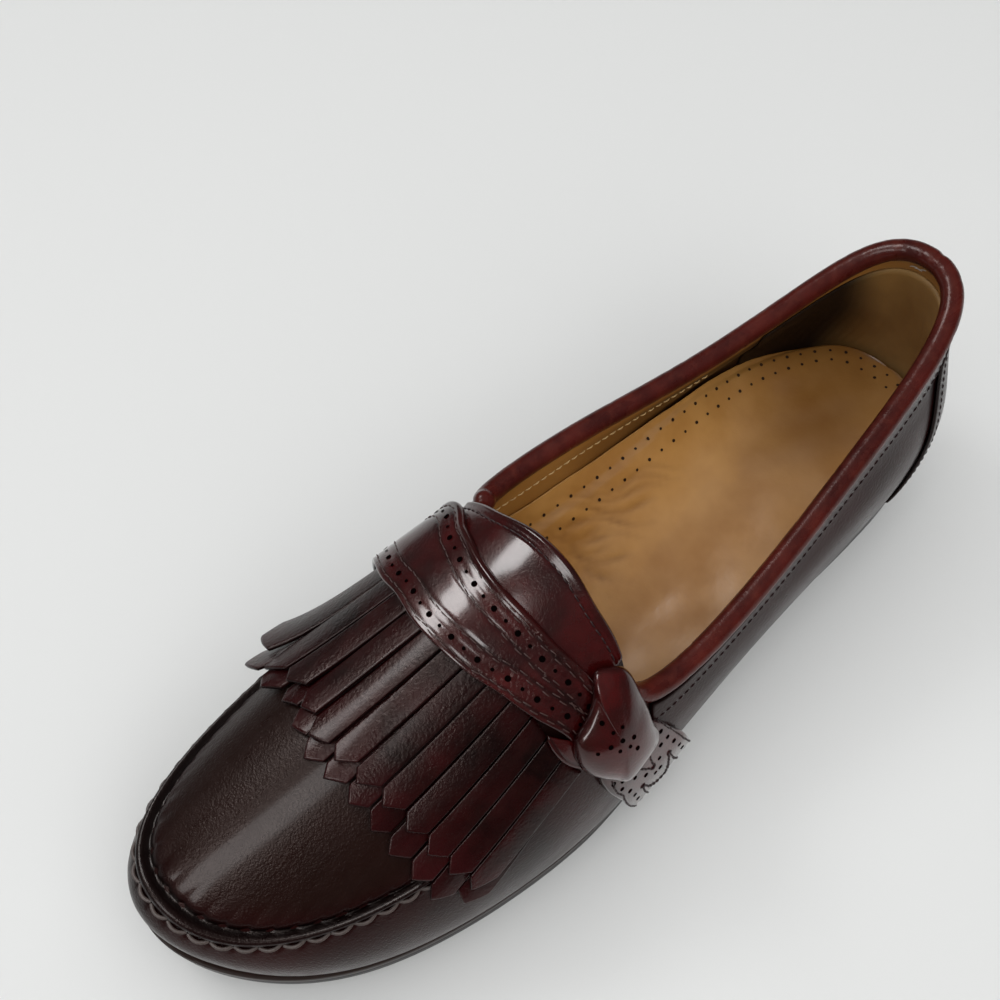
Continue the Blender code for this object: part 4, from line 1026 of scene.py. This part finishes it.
def pinRow(inset, toX):
    # a line on the sock, at one distance inside its edge, from the medial instep round the heel
    flat, out = plan(np.linspace(3.5, 12.8, 700))
    flat = flat - out * (insole["inset"] + inset)
    flat = flat[flat[:, 0] < toX]
    left, right = (np.interp(flat[:, 0], side[:, 0], side[:, 1]) for side in (medialSide, lateralSide))
    share = np.clip((flat[:, 1] - left) / (right - left), 0, 1)
    row = np.interp(flat[:, 0], stationX, np.arange(len(stationX)))
    column = np.interp(share, acrossShare[0], np.arange(acrossShare.shape[1]))
    i = np.clip(row.astype(int), 0, len(stationX) - 2)
    j = np.clip(column.astype(int), 0, acrossShare.shape[1] - 2)
    rowPart, columnPart = (row - i)[:, None], (column - j)[:, None]
    near, far = (insoleOuter[at, j] * (1 - columnPart) + insoleOuter[at, j + 1] * columnPart
                 for at in (i, i + 1))
    step = insoleOuter[i, j + 1] - insoleOuter[i, j]
    up = unit(np.stack([0 * step[:, 0], -step[:, 2], step[:, 1]], -1))
    return near * (1 - rowPart) + far * rowPart + up * 0.12, up


alongPath("insolePinholes", [pinRow(2.8, 170), pinRow(6.6, 168)], holeTree, {
    "Pitch": 5.4, "Radius": 0.6, "Small Radius": 0.5, "Material": pinholeShade})
print("insole")

# Sole and heel: rings that follow the feather line
sole = {"ring": 360, "edgeStations": (0.0, 0.25, 0.42, 0.62, 1.0), "edgeReach": (0.8, 0.8, 0.6, 2.4, 2.8),
        "midThick": 3.4, "heelRing": 160, "heelInset": 0.2, "heelTaper": 3.0, "breast": 72.0,
        "breastLean": 4.0, "topPiece": 6.0}


def outline(ribs, reach):
    # the sole's edge, with a reach beyond it
    flat, out = plan(ribs)
    edge = np.interp(flat[..., 0] / last["length"], sole["edgeStations"], sole["edgeReach"])
    return flat + out * (edge + reach)[..., None]


def layered(name, rings, material, slot, node):
    count = len(rings[0])
    faces = []
    for level in range(len(rings) - 1):
        for j in range(count):
            here, after = level * count + j, level * count + (j + 1) % count
            faces.append((here, after, after + count, here + count))
    bottom = (len(rings) - 1) * count
    for j in range(count // 2 - 1):
        far, nextFar = count - 1 - j, count - 2 - j
        faces.append((far, nextFar, j + 1, j))
        faces.append((bottom + j, bottom + j + 1, bottom + nextFar, bottom + far))
    piece = newPiece(name, np.concatenate(rings), faces)
    piece.data.set_sharp_from_angle(angle=math.radians(50))
    dress(piece, material, slot, node)


def soleLayer(name, profile, material, slot, node):
    soleRing = (np.arange(sole["ring"]) + 0.5) * ribCount / sole["ring"]
    rings = []
    for reach, depth in profile:
        flat = outline(soleRing, reach)
        rings.append(raiseTo(flat, soleLine(flat[..., 0]) - depth))
    layered(name, rings, material, slot, node)


# profiles: reach beyond the sole's edge, and depth below the feather line
midTop, midLow = last["fit"], last["fit"] + sole["midThick"]
soleLayer("weltAndMidsole", ((-0.7, midTop), (-0.1, midTop + 0.15), (0.15, midTop + 0.5), (0.2, midTop + 1.2),
                             (0.2, midLow - 0.6), (0.05, midLow - 0.2), (-0.5, midLow)),
          welt, "midsole_edge", "midsole")
outTop, outLow = midLow + last["fit"], last["foreHeight"]
soleLayer("outsole", ((-0.5, outTop), (-0.1, outTop + 0.2), (0.0, outTop + 0.5), (0.0, outLow - 0.9),
                      (-0.25, outLow - 0.35), (-0.9, outLow)), soleBlack, "sole_edge_black", "outsole")
fineRibs = np.linspace(ribCount / 4, ribCount * 3 / 4, 801)
behind = fineRibs[plan(fineRibs)[0][..., 0] <= sole["breast"]]
heelRing = np.linspace(behind[0], behind[-1], sole["heelRing"])
heelTop = float(soleLine(np.array(0.0))) - last["foreHeight"]


def heelAt(height, inset=sole["heelInset"]):
    down = 1 - height / heelTop
    flat = outline(heelRing, -inset - sole["heelTaper"] * down)
    flat[:, 0] *= 1 - sole["breastLean"] * down / sole["breast"]
    return flat


seatFlat = heelAt(heelTop)
seat = raiseTo(seatFlat, soleLine(seatFlat[..., 0]) - last["foreHeight"] - last["fit"])
liftLow, pieceTop = sole["topPiece"] + last["fit"], sole["topPiece"]
# rings: height and inset
stackRings = (liftLow + 0.4, 0.2), (liftLow, 0.5)
pieceRings = (pieceTop, 0.5), (pieceTop - 0.4, 0.2), (0.9, 0.2), (0.3, 0.45), (0.0, 0.9)
layered("heelStack", [seat] + [raiseTo(heelAt(*at), at[0]) for at in stackRings],
        heelBlack, "sole_edge_black", "heel_stack")
layered("heelTopPiece", [raiseTo(heelAt(*at), at[0]) for at in pieceRings],
        rubber, "rubber_black", "heel_top_piece")
print("sole")

# Stage: pale floor, soft light from above, and the camera
stage = {"floor": "#e2e3e2", "floorRough": 0.7, "sky": "#eeeeed", "skyStrength": 0.11, "half": 4,
         "low": -0.0004}
corners = [(x * stage["half"], y * stage["half"], stage["low"])
           for x, y in ((-1, -1), (1, -1), (1, 1), (-1, 1))]
floorMesh = bpy.data.meshes.new("floor")
floorMesh.from_pydata(corners, [], [(0, 1, 2, 3)])
floor = bpy.data.objects.new("floor", floorMesh)
scene.collection.objects.link(floor)
paper, tree, shader, where = newMaterial("paperFloor")
wire(tree, shader, {"Base Color": stage["floor"], "Roughness": stage["floorRough"]})
floorMesh.materials.append(paper)

world = bpy.data.worlds.new("studio")
world.use_nodes = True
wire(world.node_tree, world.node_tree.nodes["Background"],
     {"Color": stage["sky"], "Strength": stage["skyStrength"]})
scene.world = world
scene.view_settings.view_transform = "Standard"

lamps = (
    # name, place in metres, aimed at, width and depth in metres, watts, lights surfaces, shows as sheen
    ("softbox", (0.08, 0.08, 1.60), (0.0, 0.0, 0.03), (3.0, 3.0), 38.0, True, False),
    ("ceiling", (-0.20, 0.05, 1.60), (0.0, 0.0, 0.03), (2.4, 2.4), 1.4, True, True),
    ("fill", (0.10, 1.20, 0.90), (0.0, 0.0, 0.03), (1.4, 0.9), 5.0, True, False),
    ("window", (0.33, -0.88, 1.10), (0.0, 0.0, 0.05), (0.5, 0.4), 2.5, True, False),
    ("glint", (0.30, -0.85, 1.14), (0.0, 0.0, 0.05), (0.5, 0.4), 9.5, False, True),
    ("strip", (0.81, -0.11, 0.89), (0.11, -0.01, 0.05), (0.32, 0.62), 5.6, False, True),
)
for name, place, aim, (lampWide, lampDeep), watts, lights, shows in lamps:
    data = bpy.data.lights.new(name, "AREA")
    data.shape = "RECTANGLE"
    data.size, data.size_y = lampWide, lampDeep
    data.energy = watts
    lamp = bpy.data.objects.new(name, data)
    lamp.visible_diffuse, lamp.visible_glossy = lights, shows
    ahead = unit(np.array(aim) - np.array(place))
    side = unit(np.cross(ahead, [0, 0, 1.0]))
    turned = Matrix((side, np.cross(side, ahead), -ahead)).transposed().to_4x4()
    turned.translation = place
    lamp.matrix_world = turned
    scene.collection.objects.link(lamp)

# the photo's camera: focal length in pixels of a picture 1000 wide, and its axes in the shoe's frame
camera = {"pixels": 1263.6, "place": (265.8, 114.9, 397.9), "right": (-0.7627, 0.6449, -0.0483),
          "down": (0.5779, 0.6462, -0.4983), "ahead": (-0.2902, -0.4080, -0.8656), "shiftX": 0.03,
          "sensor": 36.0, "near": 0.01}
cameraData = bpy.data.cameras.new("photoCamera")
cameraData.sensor_width = camera["sensor"]
cameraData.lens = camera["pixels"] / 1000 * camera["sensor"]
cameraData.shift_x = camera["shiftX"]
cameraData.clip_start = camera["near"]
eye = bpy.data.objects.new("photoCamera", cameraData)
pose = Matrix((camera["right"], [-v for v in camera["down"]], [-v for v in camera["ahead"]])).transposed()
pose = pose.to_quaternion().to_matrix().to_4x4()
pose.translation = ((np.array(camera["place"]) + standShift) * mm).tolist()
eye.matrix_world = pose
scene.collection.objects.link(eye)
scene.camera = eye
print("stage")
